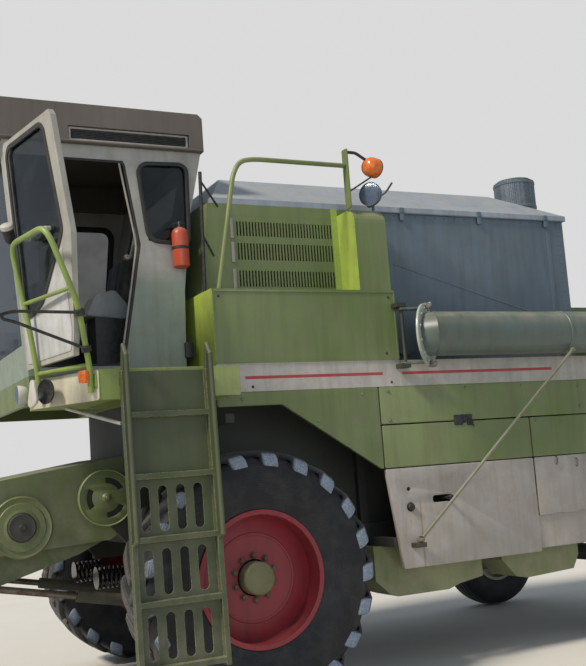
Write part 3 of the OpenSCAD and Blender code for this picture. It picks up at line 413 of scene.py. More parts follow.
panels_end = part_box("side_panels")[1]
skin_y, deck_z = panels_end.y, panels_end.z
front_seam, rear_seam, last_edge = 1.03, 2.293, panels_end.x - axle_x
lip_z, mid_z = 1.378, 1.67
SHEET = 0.03
SEAM = 0.004
after_front, before_rear, after_rear = front_seam + SEAM, rear_seam - SEAM, rear_seam + SEAM
over_mid, under_mid = mid_z + SEAM, mid_z - SEAM
wheel_arch = [(-0.145, deck_z), (-0.145, 1.84), (0.3, 1.84), (1.01, 1.377)]
side_sheets = [
    wheel_arch + [(front_seam - SEAM, lip_z), (front_seam - SEAM, deck_z)],
    [(after_front, deck_z), (after_front, over_mid), (last_edge, over_mid), (last_edge, deck_z)],
    [(after_front, under_mid), (after_front, lip_z), (before_rear, lip_z), (before_rear, under_mid)],
    [(after_rear, under_mid), (after_rear, lip_z), (last_edge, lip_z), (last_edge, under_mid)],
]
skin_place = outside(0, skin_y - SHEET / 2, 0)
for i, outline in enumerate(side_sheets):
    mesh = slab(outline, SHEET_CORNER, SHEET, 0.005, 3)
    pair(f"side_sheet_{i + 1}", mesh, green, ("side_panels",), place=skin_place)

# White enamel gone chalky: rust eats in from its chips, and has run down once below a hole
WHITE = ("#aba6a2", "#9b9895")
rust_run = (1.279, 1.289, 0.7, 1.14, "#8f7560", 0.004)
rusty_white = painted(
    "white_enamel_rusting", *WHITE, dust=0.4, chips=0.75, rust="#8a5a38", soil="#a79c86", bands=[rust_run]
)
plug_x, plug_z = 1.208, 1.107
shield = [(after_front, 1.372), (1.12, 0.702), (before_rear, 0.702), (before_rear, 1.372)]
openings = [ring(plug_x, plug_z, 0.03), ring(1.204, 1.228, 0.014)]
openings.append(rounded(oblong(1.392, 1.122, 1.558, 1.17), 0.022))
mesh = plate([rounded(shield, SHEET_CORNER, 3)] + openings, SHEET, 0.004)
pair("lower_shield", mesh, rusty_white, ("side_shields",), place=skin_place)

# The sheet behind the wheel well's end: a short hung flap over a lower shield, with a torn lower edge
random.seed(4)
flap_z = 0.957
torn = [(after_rear + 0.004, flap_z)]
for k in range(1, 22):
    torn.append((rear_seam + 0.006 + k * 0.0235, flap_z + random.uniform(-0.006, 0.007)))
flap = torn + [(2.80, 1.372), (after_rear + 0.004, 1.372)]
under = slab(oblong(after_rear, 0.722, 2.798, 1.10), SHEET_CORNER, 0.014, 0.003, 3)
behind = slab(oblong(2.808, 1.062, last_edge, 1.372), SHEET_CORNER, SHEET, 0.004, 3)
parts = [
    (plate([flap], 0.012, 0.002), outside(0, skin_y - 0.006, 0)),
    (under, outside(0, skin_y - 0.022, 0)),
    (behind, skin_place),
]
pair("rear_shield", joined(parts), rusty_white, ("rear_shields",))


def turned(profile, steps=40):
    """A form turned about its own Z, from points of radius and height."""
    body = bmesh.new()
    rings = []
    for radius, height in profile:
        count = steps if radius > 1e-6 else 1
        points = [(x, y, height) for x, y in ring(0, 0, radius, steps)[:count]]
        rings.append([body.verts.new(point) for point in points])
    for low, high in zip(rings, rings[1:]):
        for k in range(steps):
            foot = [low[i % len(low)] for i in (k, k + 1)]
            top = [high[i % len(high)] for i in (k + 1, k)]
            face = list(dict.fromkeys(foot + top))
            if len(face) > 2:
                body.faces.new(face)
    return baked(body, "turned")


def bolt(across, height):
    """A hexagon bolt head on its washer."""
    r = across / 2
    head = [(0, height), (r * 0.82, height), (r, height * 0.86), (r, 0.2 * height), (0, 0.2 * height)]
    washer = [(0, height * 0.22), (r * 1.35, height * 0.22), (r * 1.4, 0), (0, 0)]
    return joined([turned(head, 6), turned(washer, 20)])


def wire(points, radius, corner=None, steps=5, closed=False, sides=3):
    """A round bar along points, bent with a radius at its corners."""
    if corner:
        points = rounded(points, corner, steps, loop=False)
    line = bpy.data.curves.new("wire", "CURVE")
    line.dimensions = "3D"
    line.bevel_depth = radius
    line.bevel_resolution = sides
    line.use_fill_caps = True
    spline = line.splines.new("POLY")
    spline.points.add(len(points) - 1)
    for point, place in zip(spline.points, points):
        point.co = (*place, 1)
    spline.use_cyclic_u = closed
    return as_mesh(line)


def weathered(
    name,
    clean,
    soiled,
    spots,
    surface,
    limits=None,
    most=1.0,
    detail=5.0,
    crisp=0.5,
    relief=None,
    pattern=None,
):
    """A finish of two tones that meet in clouds, spots millimetres wide. limits says where in the noise the
    second tone sets in, and most how far it goes. surface gives the shader's other inputs, as a pair where
    one follows the tone. relief is a strength and a depth in metres, of the clouds or of a pattern: the
    node's kind, its output, its inputs and its settings."""
    made, tree = blank(name)
    place = add(tree, "TexCoord").outputs["Object"]
    noise = {"Vector": place, "Scale": grain(spots), "Detail": detail, "Roughness": crisp}
    cloud = add(tree, "TexNoise", noise).outputs[0]
    share = cloud
    if limits:
        share = add(tree, "MapRange", {0: cloud, 1: limits[0], 2: limits[1], 4: most}).outputs[0]
    tones = {0: share, 6: linear(clean), 7: linear(soiled)}
    inputs = {"Base Color": add(tree, "Mix", tones, data_type="RGBA").outputs[2]}
    for socket, value in surface.items():
        if isinstance(value, tuple):
            value = add(tree, "MapRange", {0: share, 3: value[0], 4: value[1]}).outputs[0]
        inputs[socket] = value
    if relief:
        height = cloud
        if pattern:
            kind, output, drawn, settings = pattern
            height = add(tree, kind, {"Vector": place, **drawn}, **settings).outputs[output]
        bump = {"Strength": relief[0], "Distance": relief[1], "Height": height}
        inputs["Normal"] = add(tree, "Bump", bump).outputs[0]
    add(tree, "OutputMaterial", {"Surface": add(tree, "BsdfPrincipled", inputs).outputs[0]})
    return made


# Zinc-plated fasteners: dull grey metal, with brown rust in clouds where the plating has gone
zinc = weathered(
    "zinc_plated_steel",
    "#8b8a84",
    "#5b4a3c",
    12,
    {"Metallic": (0.8, 0.1), "Roughness": (0.42, 0.85)},
    limits=(0.42, 0.62),
    crisp=0.7,
    relief=(0.5, 0.0006),
)
heads = [(0.02, 1.885), (0.9, 1.885), (0.56, 1.72), (1.1, 1.9), (1.1, 1.7), (1.75, 1.9), (2.25, 1.9)]
heads += [(2.35, 1.64), (2.786, 1.88), (2.785, 1.728), (3.5, 1.9), (3.5, 1.42)]
screw = bolt(0.019, 0.006)
mesh = joined([(screw, outside(x, skin_y, z)) for x, z in heads])
pair("sheet_screws", mesh, low_green)

# Black moulded parts: dull, with a fine pebbled skin, and scuffed grey in patches
black = weathered(
    "black_polypropylene",
    "#1b1c1e",
    "#5a5852",
    30,
    {"Roughness": (0.5, 0.85)},
    limits=(0.45, 0.75),
    most=0.5,
    detail=6.0,
    crisp=0.7,
    relief=(0.3, 0.0004),
    pattern=("TexNoise", 0, {"Scale": grain(1.5), "Detail": 1.0}, {}),
)

# Latch plate on the long sheets' seam with its hook, then plug and lever, then the flap's hooks
latch = [(1.625, 1.712), (1.78, 1.712), (1.78, 1.635), (1.735, 1.635), (1.735, 1.66), (1.70, 1.66)]
latch += [(1.70, 1.64), (1.625, 1.64)]
proud = skin_y + 0.022
latch_hook = [at(1.72, -skin_y - 0.008, 1.668), at(1.765, -proud, 1.664), at(1.775, -proud, 1.625)]
parts = [
    (slab(latch, 0.006, 0.006, 0.0015, 3), outside(0, skin_y + 0.003, 0)),
    (bolt(0.03, 0.014), outside(1.71, skin_y + 0.005, 1.675)),
    wire(latch_hook, 0.006, 0.012),
]
pair("sheet_latch", joined(parts), black)
plug = turned([(0, 0.016), (0.02, 0.016), (0.026, 0.01), (0.026, -0.02), (0, -0.02)])
lever_knob = turned([(0, 0.03), (0.014, 0.026), (0.02, 0.01), (0.016, -0.012), (0, -0.02)], 20)
parts = [
    (plug, outside(plug_x, skin_y + 0.001, plug_z)),
    wire([at(1.5, -skin_y + 0.06, 1.146), at(1.5, -skin_y - 0.045, 1.15)], 0.009),
    (lever_knob, outside(1.5, skin_y + 0.05, 1.15)),
]
pair("plug_and_lever", joined(parts), black)
hook_course = ((0.004, 0.03), (0.018, 0.02), (0.018, -0.02), (0.004, -0.03))
hooks = []
for x, z in ((2.499, 1.341), (2.687, 1.314)):
    hooks.append(wire([at(x, -skin_y - off, z + rise) for off, rise in hook_course], 0.005, 0.008))
pair("flap_hooks", joined(hooks), zinc)

# Engine housing
# A wide box with a painted stripe carries a narrower hood behind the cab. The hood's sides have
# three rows of upright slots for the radiator's air, and a rail to hold when climbing up there.

RED_LINE = "#a82c38"
BAND_WHITE = "#b2aeaa"
line_z0, line_z1 = deck_z + 0.08, deck_z + 0.1
box_top = deck_z + 0.18
stripe = [
    (-0.2, 1.25, deck_z - 0.05, box_top, BAND_WHITE, 0.002),
    (0.05, 1.075, line_z0, line_z1, RED_LINE, 0.001),
    # Painted light: sunlit yellow green on the front faces of the box and of the hood
    (-0.2, -0.1436, box_top, 3.3, "#a3b94a", 0.0006),
    (0.9, 0.9515, 2.602, 3.3, "#9db549", 0.0006),
]
# Green enamel with a white band and a red line; its front faces are painted a bright yellow green, as painted
# light where the sun falls on them
housing_green = painted("green_enamel_striped_painted_light", *GREEN, chips=0.6, bands=stripe)
dress(housing_green, "engine_housing", "louvres")

# Paler green on the guard rail, glossier where hands polish it
rail_green = painted("green_enamel_handled", "#7c953f", "#94a85c", rough=0.4, chips=0.7, dents=0.001)

# Dark green on the ladder: painted shade, for the shadow it stands in. Its edges are worn bright by boots and
# hands, and painted brighter as highlights where light catches them
ladder_green = painted(
    "green_enamel_trodden_painted_shade",
    "#38432a",
    "#475233",
    rough=0.5,
    dust=0.2,
    chips=0.8,
    dents=0.001,
    worn_and_lit_edge_colour="#a9b866",
)
dress(ladder_green, "ladder")

# White enamel on the ledges, which carries the red line on to the rear
ledge_line = (1.23, 2.55, line_z0, line_z1, RED_LINE, 0.001)
ledge_white = painted("white_enamel_striped", BAND_WHITE, "#a6a6a2", chips=0.4, bands=[ledge_line])
dress(ledge_white, "ledges")

# Cast iron, dull and brown black with soot
cast_iron = painted("sooty_cast_iron", "#3a3c38", "#4a4944", rough=0.7, dust=0.6, chips=0.6)
dress(cast_iron, "engine")

wing_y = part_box("louvres")[1].y
strip = slab(oblong(-0.011, 0, 0.011, 0.14), 0.004, 0.008, 0.002)
strips = joined([(strip, outside(0.128, wing_y + 0.004, z)) for z in (2.64, 2.825, 2.99)])
pair("louvre_strips", strips, rusty_white)

# The rail: a bent tube whose rear end is welded to a thin upright flat bar, both in worn dark green
rail_y = 1.11
rail_course = ((-0.075, 2.6), (0.075, 3.37), (0.13, 3.47), (0.24, 3.489), (0.93, 3.49))
rail_line = [at(x, -rail_y, z) for x, z in rail_course]
dark_green = painted("green_enamel_worn_dark", "#5d6f38", "#7c8a55", rough=0.4, chips=0.9, dents=0.001)
upright = slab(oblong(-0.034, 3.181, 0.034, 3.608), 0.012, 0.012, 0.002)
parts = [wire(rail_line, 0.0165, 0.16, 8, sides=4), (upright, facing(at(0.94, -rail_y, 0), FORWARD))]
pair("service_rail_tube", joined(parts), dark_green, ("service_rail",))

# Folded beads round the box's side, and its bolts
box_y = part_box("engine_housing")[1].y
parts = []
for x0, z0, x1, z1 in (
    (-0.14, 2.578, 1.215, 2.592),
    (-0.14, box_top - 0.005, 1.215, box_top + 0.009),
    (-0.145, 2.12, -0.131, 2.585),
    (1.206, 2.12, 1.22, 2.585),
):
    parts.append((plate([oblong(x0, z0, x1, z1)], 0.006, 0.002), outside(0, box_y + 0.002, 0)))
pair("housing_beads", joined(parts), housing_green)
small_bolt = bolt(0.014, 0.005)
spots = [(-0.1, 2.55), (1.17, 2.55), (1.12, 2.16), (0.1, 1.96), (1.14, 1.96)]
pair("housing_bolts", joined([(small_bolt, outside(x, box_y, z)) for x, z in spots]), primer)

# Front edge of the hood: a thin black post beside the cab, with two braces to the hood
parts = [
    wire([at(-0.12, -0.98, 2.6), at(-0.1, -0.97, 3.42)], 0.012),
    wire([at(-0.1, -0.97, 3.36), at(0.03, -0.93, 3.2)], 0.007),
    wire([at(-0.115, -0.975, 3.0), at(-0.02, -0.93, 2.86)], 0.007),
]
piece("cab_stay_post", joined(parts), black)

# Amber acrylic: orange that glows a little in its depth, glossy under patches of dust
amber = weathered(
    "amber_acrylic",
    "#dc6412",
    "#e08a45",
    40,
    {"Roughness": (0.18, 0.5), "Transmission Weight": 0.15, "Subsurface Weight": 0.2},
    limits=(0.4, 0.7),
)
# Warning beacon: a ribbed dome that lies on its side, on a black cup and a bracket from the rail
beacon_lo, beacon_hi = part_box("beacon")
lens_at = Vector((beacon_hi.x - 0.075, -rail_y, beacon_hi.z - 0.075))
lens_spot = facing(lens_at, (-1, -0.35, 0.05))
dome = [(0, 0.058), (0.02, 0.057), (0.042, 0.05), (0.06, 0.034), (0.068, 0.014), (0.07, 0.0)]
for k in range(5):
    dome += [(0.0712, -0.003 - 0.008 * k), (0.0695, -0.007 - 0.008 * k)]
dome += [(0.07, -0.045), (0, -0.045)]
piece("beacon_dome", turned(dome, 56), amber, ("beacon",), place=lens_spot)
cup = [(0, -0.0455), (0.0705, -0.0455), (0.071, -0.052), (0.064, -0.06), (0.03, -0.066), (0, -0.067)]
post_x = beacon_lo.x
arm = [Vector((post_x - 0.03, -rail_y, 3.59)), Vector((post_x + 0.05, -rail_y, 3.59))]
arm.append(lens_spot.translation + Vector((0.06, 0.01, 0.0)))
strut = [Vector((post_x - 0.03, -rail_y, 3.3)), lens_spot.translation + Vector((0.05, 0.01, -0.04))]
mesh = joined([(turned(cup, 40), lens_spot), wire(arm, 0.011, 0.02), wire(strut, 0.006)])
piece("beacon_foot", mesh, black)

# Work lamp: a round case in a fork on its stem, in dusty blue grey enamel, with its cable behind
blue_grey = painted("grey_enamel", "#2f3a48", "#465364", rough=0.4, dust=0.3, chips=0.3, dents=0.001)
lamp_lo, lamp_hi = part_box("work_lamp")
lamp_z, stem_x = lamp_hi.z - 0.085, lamp_hi.x - 0.045
case = [(0, -0.045), (0.03, -0.043), (0.055, -0.03), (0.075, 0.0), (0.084, 0.035), (0.085, 0.045)]
case = turned(case + [(0.079, 0.045), (0.074, 0.035), (0, 0.03)], 48)
head_place = facing(Vector((lamp_lo.x + 0.05, -rail_y, lamp_z)), (-1, -0.62, 0.02))
stem = [Vector((stem_x, -rail_y, z)) for z in (lamp_lo.z, lamp_z - 0.07)]
fork_course = ((-0.08, 0), (-0.075, 0.075), (0.075, 0.075), (0.08, 0))
fork = [Vector((stem_x, y - rail_y, lamp_z - drop)) for y, drop in fork_course]
cable_course = ((-0.04, -0.02), (0.06, 0.01), (0.13, 0.1))
cable = [Vector((lamp_hi.x + x, -rail_y, lamp_z + rise)) for x, rise in cable_course]
mesh = joined([(case, head_place), wire(stem, 0.011), wire(fork, 0.006, 0.05), wire(cable, 0.007, 0.05)])
piece("work_lamp_case", mesh, blue_grey, ("work_lamp",))


def ribs(millimetres, direction):
    """The pattern of pressed ribs, this far apart along an axis."""
    return ("TexWave", "Fac", {"Scale": 100 * math.pi / millimetres}, {"bands_direction": direction})


# Lamp glass over a bright bowl: glossy blue grey, with pressed upright ribs that break up what it mirrors
lamp_glass = weathered(
    "pressed_lamp_glass",
    "#4a5a72",
    "#6c7886",
    25,
    {"Roughness": 0.15, "Metallic": 0.3},
    detail=4.0,
    relief=(0.6, 0.002),
    pattern=ribs(12.083, "Y"),
)
lens_mesh = turned([(0, 0.052), (0.03, 0.051), (0.06, 0.047), (0.078, 0.041), (0.078, 0.036), (0, 0.036)], 40)
piece("work_lamp_lens", lens_mesh, lamp_glass, place=head_place)

# Grain tank
# A box of welded sheet under a ridged cover. A row of stitch welds runs down across its side, with
# rivets at the upright seams and a folded rim under the cover. The air intake stands behind it.

# The tank's green enamel is painted blue grey: painted light, the cool sky light that its smooth wall
# reflects. It is smooth, with a soft shine; on the cover it is bleached and dull, with the same painted sky
# blue
tank_paint = painted("green_enamel_painted_sky_blue", "#4d5e6c", "#5f6f7c", rough=0.38, dust=0.2, chips=0.35)
dress(tank_paint, "grain_tank")
cover_paint = painted(
    "green_enamel_bleached_painted_sky_blue", "#7f8c9c", "#98a2ae", rough=0.5, dust=0.3, chips=0.4, soil="#aaa69c"
)
dress(cover_paint, "tank_cover")
tank_y = 0.9
front_rivets, rear_rivets, top_rivets = 1.26, 2.98, 3.205
stitch = turned([(0, 0.004), (0.005, 0.003), (0.008, 0), (0, 0)], 12)
longer = Matrix.Diagonal((1.6, 0.9, 1, 1))
weld_from, weld_to = (1.41, 2.84), (2.62, 2.49)
stitches = 48
parts = []
for k in range(stitches):
    t = k / (stitches - 1)
    x, z = weld_from[0] + t * (weld_to[0] - weld_from[0]), weld_from[1] + t * (weld_to[1] - weld_from[1])
    parts.append((stitch, outside(x, tank_y, z) @ longer))
pair("stitch_weld", joined(parts), tank_paint)
rivet = turned([(0, 0.004), (0.004, 0.0035), (0.007, 0), (0, 0)], 12)
rows = [(x, 2.14 + 0.075 * k) for x in (front_rivets, rear_rivets) for k in range(14)]
rows += [(front_rivets + 0.09 * k, top_rivets) for k in range(20)]
pair("tank_rivets", joined([(rivet, outside(x, tank_y, z)) for x, z in rows]), tank_paint)
rim = plate([oblong(1.225, 3.222, 3.025, 3.232)], 0.03, 0.003)
strap = slab(oblong(-0.02, 3.17, 0.02, 3.27), 0.01, 0.01, 0.002)
seam = plate([oblong(-0.02, 2.12, 0.02, 3.22)], 0.006, 0.002)
parts = [(rim, outside(0, tank_y + 0.004, 0))]
parts += [(strap, outside(x, tank_y + 0.014, 0)) for x in (1.5, 2.2, 2.85)]
parts.append((seam, outside(2.87, tank_y + 0.001, 0)))
pair("tank_rim", joined(parts), tank_paint)

# Intake screen: a drum of pierced grey sheet, dark in its holes. They are drawn 12 mm apart so that they show
pierced, tree = blank("pierced_steel_sheet")
place = add(tree, "TexCoord").outputs["Object"]
holes = add(tree, "TexVoronoi", {"Vector": place, "Scale": grain(12), "Randomness": 0.15}).outputs["Distance"]
holes = add(tree, "MapRange", {0: holes, 1: 0.34, 2: 0.26}).outputs[0]
cloud = add(tree, "TexNoise", {"Vector": place, "Scale": grain(60), "Detail": 4.0}).outputs[0]
tones = {0: cloud, 6: linear("#56616e"), 7: linear("#76808a")}
sheet_tone = add(tree, "Mix", tones, data_type="RGBA").outputs[2]
tone = add(tree, "Mix", {0: holes, 6: sheet_tone, 7: linear("#141414")}, data_type="RGBA").outputs[2]
depth = add(tree, "Math", {0: holes, 1: -1.0}, operation="MULTIPLY").outputs[0]
sunk = add(tree, "Bump", {"Strength": 0.8, "Distance": 0.003, "Height": depth}).outputs[0]
shader = add(tree, "BsdfPrincipled", {"Base Color": tone, "Roughness": 0.6, "Metallic": 0.4, "Normal": sunk})
add(tree, "OutputMaterial", {"Surface": shader.outputs[0]})
dress(pierced, "intake_screen")
screen_lo, screen_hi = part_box("intake_screen")
screen_spot = Matrix.Translation(((screen_lo.x + screen_hi.x) / 2, 0, 0))
bands = []
for z in (3.345, 3.58, 3.8):
    band = [(0.181, z - 0.012), (0.1845, z - 0.01), (0.1845, z + 0.01), (0.181, z + 0.012)]
    bands.append((turned(band, 64), screen_spot))
piece("screen_bands", joined(bands), tank_paint)

# Unloading tube
# A rolled steel tube swings on two lugs. Its inner end closes against the tank with a flat ring,
# held by two clamps, and a bar from the chassis holds up its middle.

# Grey green enamel: smooth and half glossy, with many scratches
tube_paint = painted(
    "grey_green_enamel_scratched", "#4b5a55", "#5d6c68", rough=0.36, dust=0.25, chips=0.55, dents=0.002
)
TUBE_STEPS = 64
tube_y, tube_z, tube_r, ring_r = 1.305, deck_z + 0.34, 0.153, 0.2165
elbow = Vector((0.643, -0.766, 0))
straight = Vector((1, 0, 0))
ring_at = at(1.384, -tube_y + 0.05, tube_z)
bend_at = ring_at + elbow * (0.05 / 0.766)
mouth_at = Vector((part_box("unload_tube")[1].x, bend_at.y, tube_z))


def mitred(line, cuts, radius):
    """Rings of a round pipe along straight runs, each run ending on a slanted cut."""
    rings = []
    for i, (point, cut) in enumerate(zip(line, cuts)):
        run = (line[min(i + 1, len(line) - 1)] - line[min(i, len(line) - 2)]).normalized()
        over = Vector((0, 0, 1))
        aside = run.cross(over)
        ring_points = []
        for k in range(TUBE_STEPS):
            a = k * math.tau / TUBE_STEPS
            spoke = over * radius * math.cos(a) + aside * radius * math.sin(a)
            ring_points.append(point + spoke - run * (spoke.dot(cut) / run.dot(cut)))
        rings.append(ring_points)
    return rings


cuts = [elbow, (elbow + straight).normalized(), straight]
outer_rings = mitred([ring_at - elbow * 0.004, bend_at, mouth_at], cuts, tube_r)
inner_rings = mitred([bend_at + straight * 0.2, mouth_at], [straight, straight], tube_r - 0.006)
body = bmesh.new()
loops = [[body.verts.new(v) for v in ring_points] for ring_points in outer_rings + inner_rings[::-1]]
for one, other in zip(loops, loops[1:]):
    for k in range(TUBE_STEPS):
        after = (k + 1) % TUBE_STEPS
        body.faces.new((one[k], one[after], other[after], other[k]))
body.faces.new(loops[0])
body.faces.new(loops[-1])
piece("unload_tube_shell", baked(body, "tube"), tube_paint, ("unload_tube",), "unloader")


def sleeve(bore, outer, half, chamfer, steps):
    """A short bored cylinder about its own Z, with a chamfer at both outer edges."""
    side = [(outer - chamfer, -half), (outer, 0.004 - half), (outer, half - 0.004), (outer - chamfer, half)]
    return turned([(bore, -half)] + side + [(bore, half), (bore, -half)], steps)


# The stay: a thin bar from an eye on the lower bracket up to a stud on the tube, its enamel worn to olive
foot_at, stud_at = at(1.235, -1.2, 0.89), at(2.515, -tube_y - 0.13, tube_z - 0.145)
stay_paint = painted("olive_enamel_worn", "#656a56", "#7b7e6b", rough=0.4, dust=0.2, chips=0.9, dents=0.0005)
stud = turned([(0, 0.008), (0.014, 0.008), (0.016, 0.0), (0.016, -0.035), (0, -0.035)], 24)
along = (stud_at - foot_at).normalized()
parts = [
    wire([foot_at + along * 0.02, stud_at], 0.0115),
    (sleeve(0.0125, 0.0235, 0.012, 0.0015, 32), Matrix.Translation(foot_at)),
    (stud, facing(stud_at + Vector((0, -0.008, 0)), OUT)),
]
piece("stay_bar_rod", joined(parts), stay_paint, ("stay_bar",))

# Its flange: a pale ring, worn bright, with bolts, clamps at top and bottom, and two arms to the hinge pin
worn_steel = painted(
    "worn_pale_enamel", "#b9c2ba", "#98a49c", rough=0.3, dust=0.15, chips=0.9, rust="#5b5248", dents=0.001
)
edge = [(ring_r - 0.004, -0.006), (ring_r, -0.002), (ring_r, 0.008), (ring_r - 0.004, 0.012)]
flange = turned([(0.15, -0.006)] + edge + [(0.15, 0.012)], 72)
ring_place = facing(ring_at, elbow)
flange_bolts, bolt_circle = 12, 0.186
parts = [(flange, ring_place)]
for k in range(flange_bolts):
    a = (k + 0.5) * math.tau / flange_bolts
    spot = Matrix.Translation((bolt_circle * math.cos(a), bolt_circle * math.sin(a), 0.012))
    parts.append((bolt(0.02, 0.012), ring_place @ spot))
piece("tube_flange", joined(parts), worn_steel, rides="unloader")
hook = [(0, -0.02), (0.04, -0.026), (0.06, -0.01), (0.06, 0.02), (0.03, 0.014), (0, 0.02)]
clamp = slab(hook, 0.01, 0.024)
along_elbow = Matrix.Rotation(math.atan2(elbow.y, elbow.x), 4, "Z")
stand_up = Matrix.Rotation(math.pi / 2, 4, "X")
parts = []
for sign in (1, -1):
    spot = ring_at + Vector((0, 0, sign * (ring_r - 0.012)))
    parts.append((clamp, Matrix.Translation(spot) @ along_elbow @ stand_up))
    parts.append((bolt(0.026, 0.016), facing(spot + elbow * 0.02, elbow)))
piece("tube_clamps", joined(parts), zinc, rides="unloader")
arm = [(-0.028, -0.028), (0.028, -0.028), (0.17, -0.075), (0.17, 0.0), (0.028, 0.028), (-0.028, 0.028)]
arm_mesh = slab(arm, 0.014, 0.016)
pin_x, pin_y = foot_at.x, foot_at.y
arms = [(arm_mesh, Matrix.Translation((pin_x, pin_y, tube_z + rise))) for rise in (0.188, -0.188)]
piece("tube_arms", joined(arms), tube_paint, rides="unloader")
strap = turned([(0.1535, -0.012), (0.158, -0.008), (0.158, 0.008), (0.1535, 0.012)], 64)
parts = [(strap, facing(at(x, mouth_at.y, tube_z), straight)) for x in (2.52, 3.65)]
weld_line = mitred([ring_at, bend_at, mouth_at], cuts, tube_r + 0.001)[1]
parts.append(wire(weld_line, 0.003, closed=True))
piece("tube_bands", joined(parts), tube_paint, rides="unloader")

# Cab
# A pressed-steel cab bolted to a green base. Its walls are white above the window sills and grey
# green below, dull with dust, and the windows sit in black rubber. The roof is flat and grimy.

# Off-white enamel, chalky, with rusty chips; a soft edge at sill height parts it from the grey green
sill_band = (-2.0, 0.5, 1.0, 2.74, "#87958a", 0.05)
cab_white = painted(
    "white_enamel_dull",
    "#aeaeaa",
    "#9c9c98",
    rough=0.5,
    dust=0.45,
    chips=0.35,
    rust="#77553c",
    bands=[sill_band],
)
dress(cab_white, "cab_left", "cab_right", "cab_front", "cab_rear")
dress(green, "cab_base")

# The roof's enamel is brown grey with years of grime
roof_paint = painted(
    "white_enamel_grimy",
    "#67605a",
    "#55504b",
    rough=0.65,
    dust=0.5,
    chips=0.35,
    rust="#5d4534",
    soil="#8d8277",
)
dress(roof_paint, "cab_roof")

# Tinted safety glass: dark and mirror-smooth where clean, milky where dust lies, thicker towards the sill
glass, tree = blank("tinted_safety_glass")
place = add(tree, "TexCoord").outputs["Object"]
film = {"Vector": place, "Scale": grain(180), "Detail": 7.0, "Roughness": 0.65}
film = add(tree, "TexNoise", film).outputs[0]
film = add(tree, "MapRange", {0: film, 1: 0.45, 2: 0.9, 4: 0.6}).outputs[0]
height = add(tree, "SeparateXYZ", {0: place}).outputs[2]
low = add(tree, "MapRange", {0: height, 1: 3.2, 2: 2.3, 4: 0.15}).outputs[0]
film = add(tree, "Math", {0: film, 1: low}, operation="ADD", use_clamp=True).outputs[0]
tones = {0: film, 6: linear("#0f161a"), 7: linear("#3d4345")}
tone = add(tree, "Mix", tones, data_type="RGBA").outputs[2]
cover = add(tree, "MapRange", {0: film, 3: 0.62, 4: 0.78}).outputs[0]
dull = add(tree, "MapRange", {0: film, 3: 0.04, 4: 0.5}).outputs[0]
pane = {"Base Color": tone, "Roughness": dull, "Alpha": cover, "Specular IOR Level": 0.7}
shader = add(tree, "BsdfPrincipled", pane)
add(tree, "OutputMaterial", {"Surface": shader.outputs[0]})
dress(glass, "cab_glass", "door_glass")

# Window rubber: an extruded black profile, matt and greying
rubber = weathered("window_rubber", "#131415", "#3a3a37", 50, {"Roughness": 0.7}, relief=(0.3, 0.0005))

wall_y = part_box("cab_right")[1].y
REAR_WIN = [(-0.44, 2.97), (-0.49, 3.44), (-0.45, 3.49), (-0.19, 3.5), (-0.15, 3.47), (-0.16, 2.98)]
REAR_WIN += [(-0.2, 2.955)]
SIDE_WIN = [(-1.19, 2.6), (-1.25, 3.4), (-1.21, 3.45), (-0.82, 3.45), (-0.78, 3.41), (-0.78, 2.64)]
SIDE_WIN += [(-0.82, 2.6)]
SIDE_WIN2 = [(-0.69, 2.64), (-0.69, 3.41), (-0.65, 3.45), (-0.24, 3.45), (-0.2, 3.4), (-0.28, 2.64)]
SIDE_WIN2 += [(-0.32, 2.6), (-0.65, 2.6)]
DOORWAY = [(-1.205, 2.15), (-1.31, 3.5), (-0.59, 3.5), (-0.574, 3.47), (-0.495, 2.94), (-0.617, 2.28)]
DOORWAY += [(-0.64, 2.15)]


def grown(outline, by):
    """An outline moved outwards, or inwards for a value under zero."""
    centre = Vector((sum(x for x, z in outline), sum(z for x, z in outline))) / len(outline)
    moved = []
    for i, corner in enumerate(outline):
        here, back, ahead = Vector(corner), Vector(outline[i - 1]), Vector(outline[(i + 1) % len(outline)])
        normals = []
        for edge in (here - back, ahead - here):
            n = Vector((edge.y, -edge.x)).normalized()
            normals.append(n if n.dot(here - centre) > 0 else -n)
        slope = (normals[0] + normals[1]).normalized()
        moved.append(tuple(here + slope * by / max(0.5, slope.dot(normals[0]))))
    return moved


def gasket(outline, wide, proud, corner=0.05, lap=0.012, soft=0.004):
    """A flat rubber profile round an opening: wide outside its edge, and lap inside it."""
    return plate([rounded(grown(outline, by), corner) for by in (wide, -lap)], proud, soft)


piece(
    "rear_side_window_rubber",
    gasket(REAR_WIN, 0.014, 0.016, 0.085),
    rubber,
    place=outside(0, wall_y + 0.002, 0),
)
parts = []
for proud, y in ((0.016, wall_y + 0.002), (0.014, wall_y - 0.04)):
    parts += [(gasket(outline, 0.024, proud), facing(at(0, y, 0), OUT)) for outline in (SIDE_WIN, SIDE_WIN2)]
piece("right_window_rubbers", joined(parts), rubber)
seal = gasket(DOORWAY, 0.001, 0.012, lap=0.016)
piece("doorway_seal", seal, rubber, place=outside(0, wall_y - 0.007, 0))
trim_course = [(-0.612, 3.485), (-0.521, 2.94), (-0.643, 2.28), (-0.662, 2.165)]
trim = [at(x, 0.011 - wall_y, z) for x, z in rounded(trim_course, 0.06, loop=False)]
piece("doorway_trim_strip", wire(trim, 0.007), rusty_white)

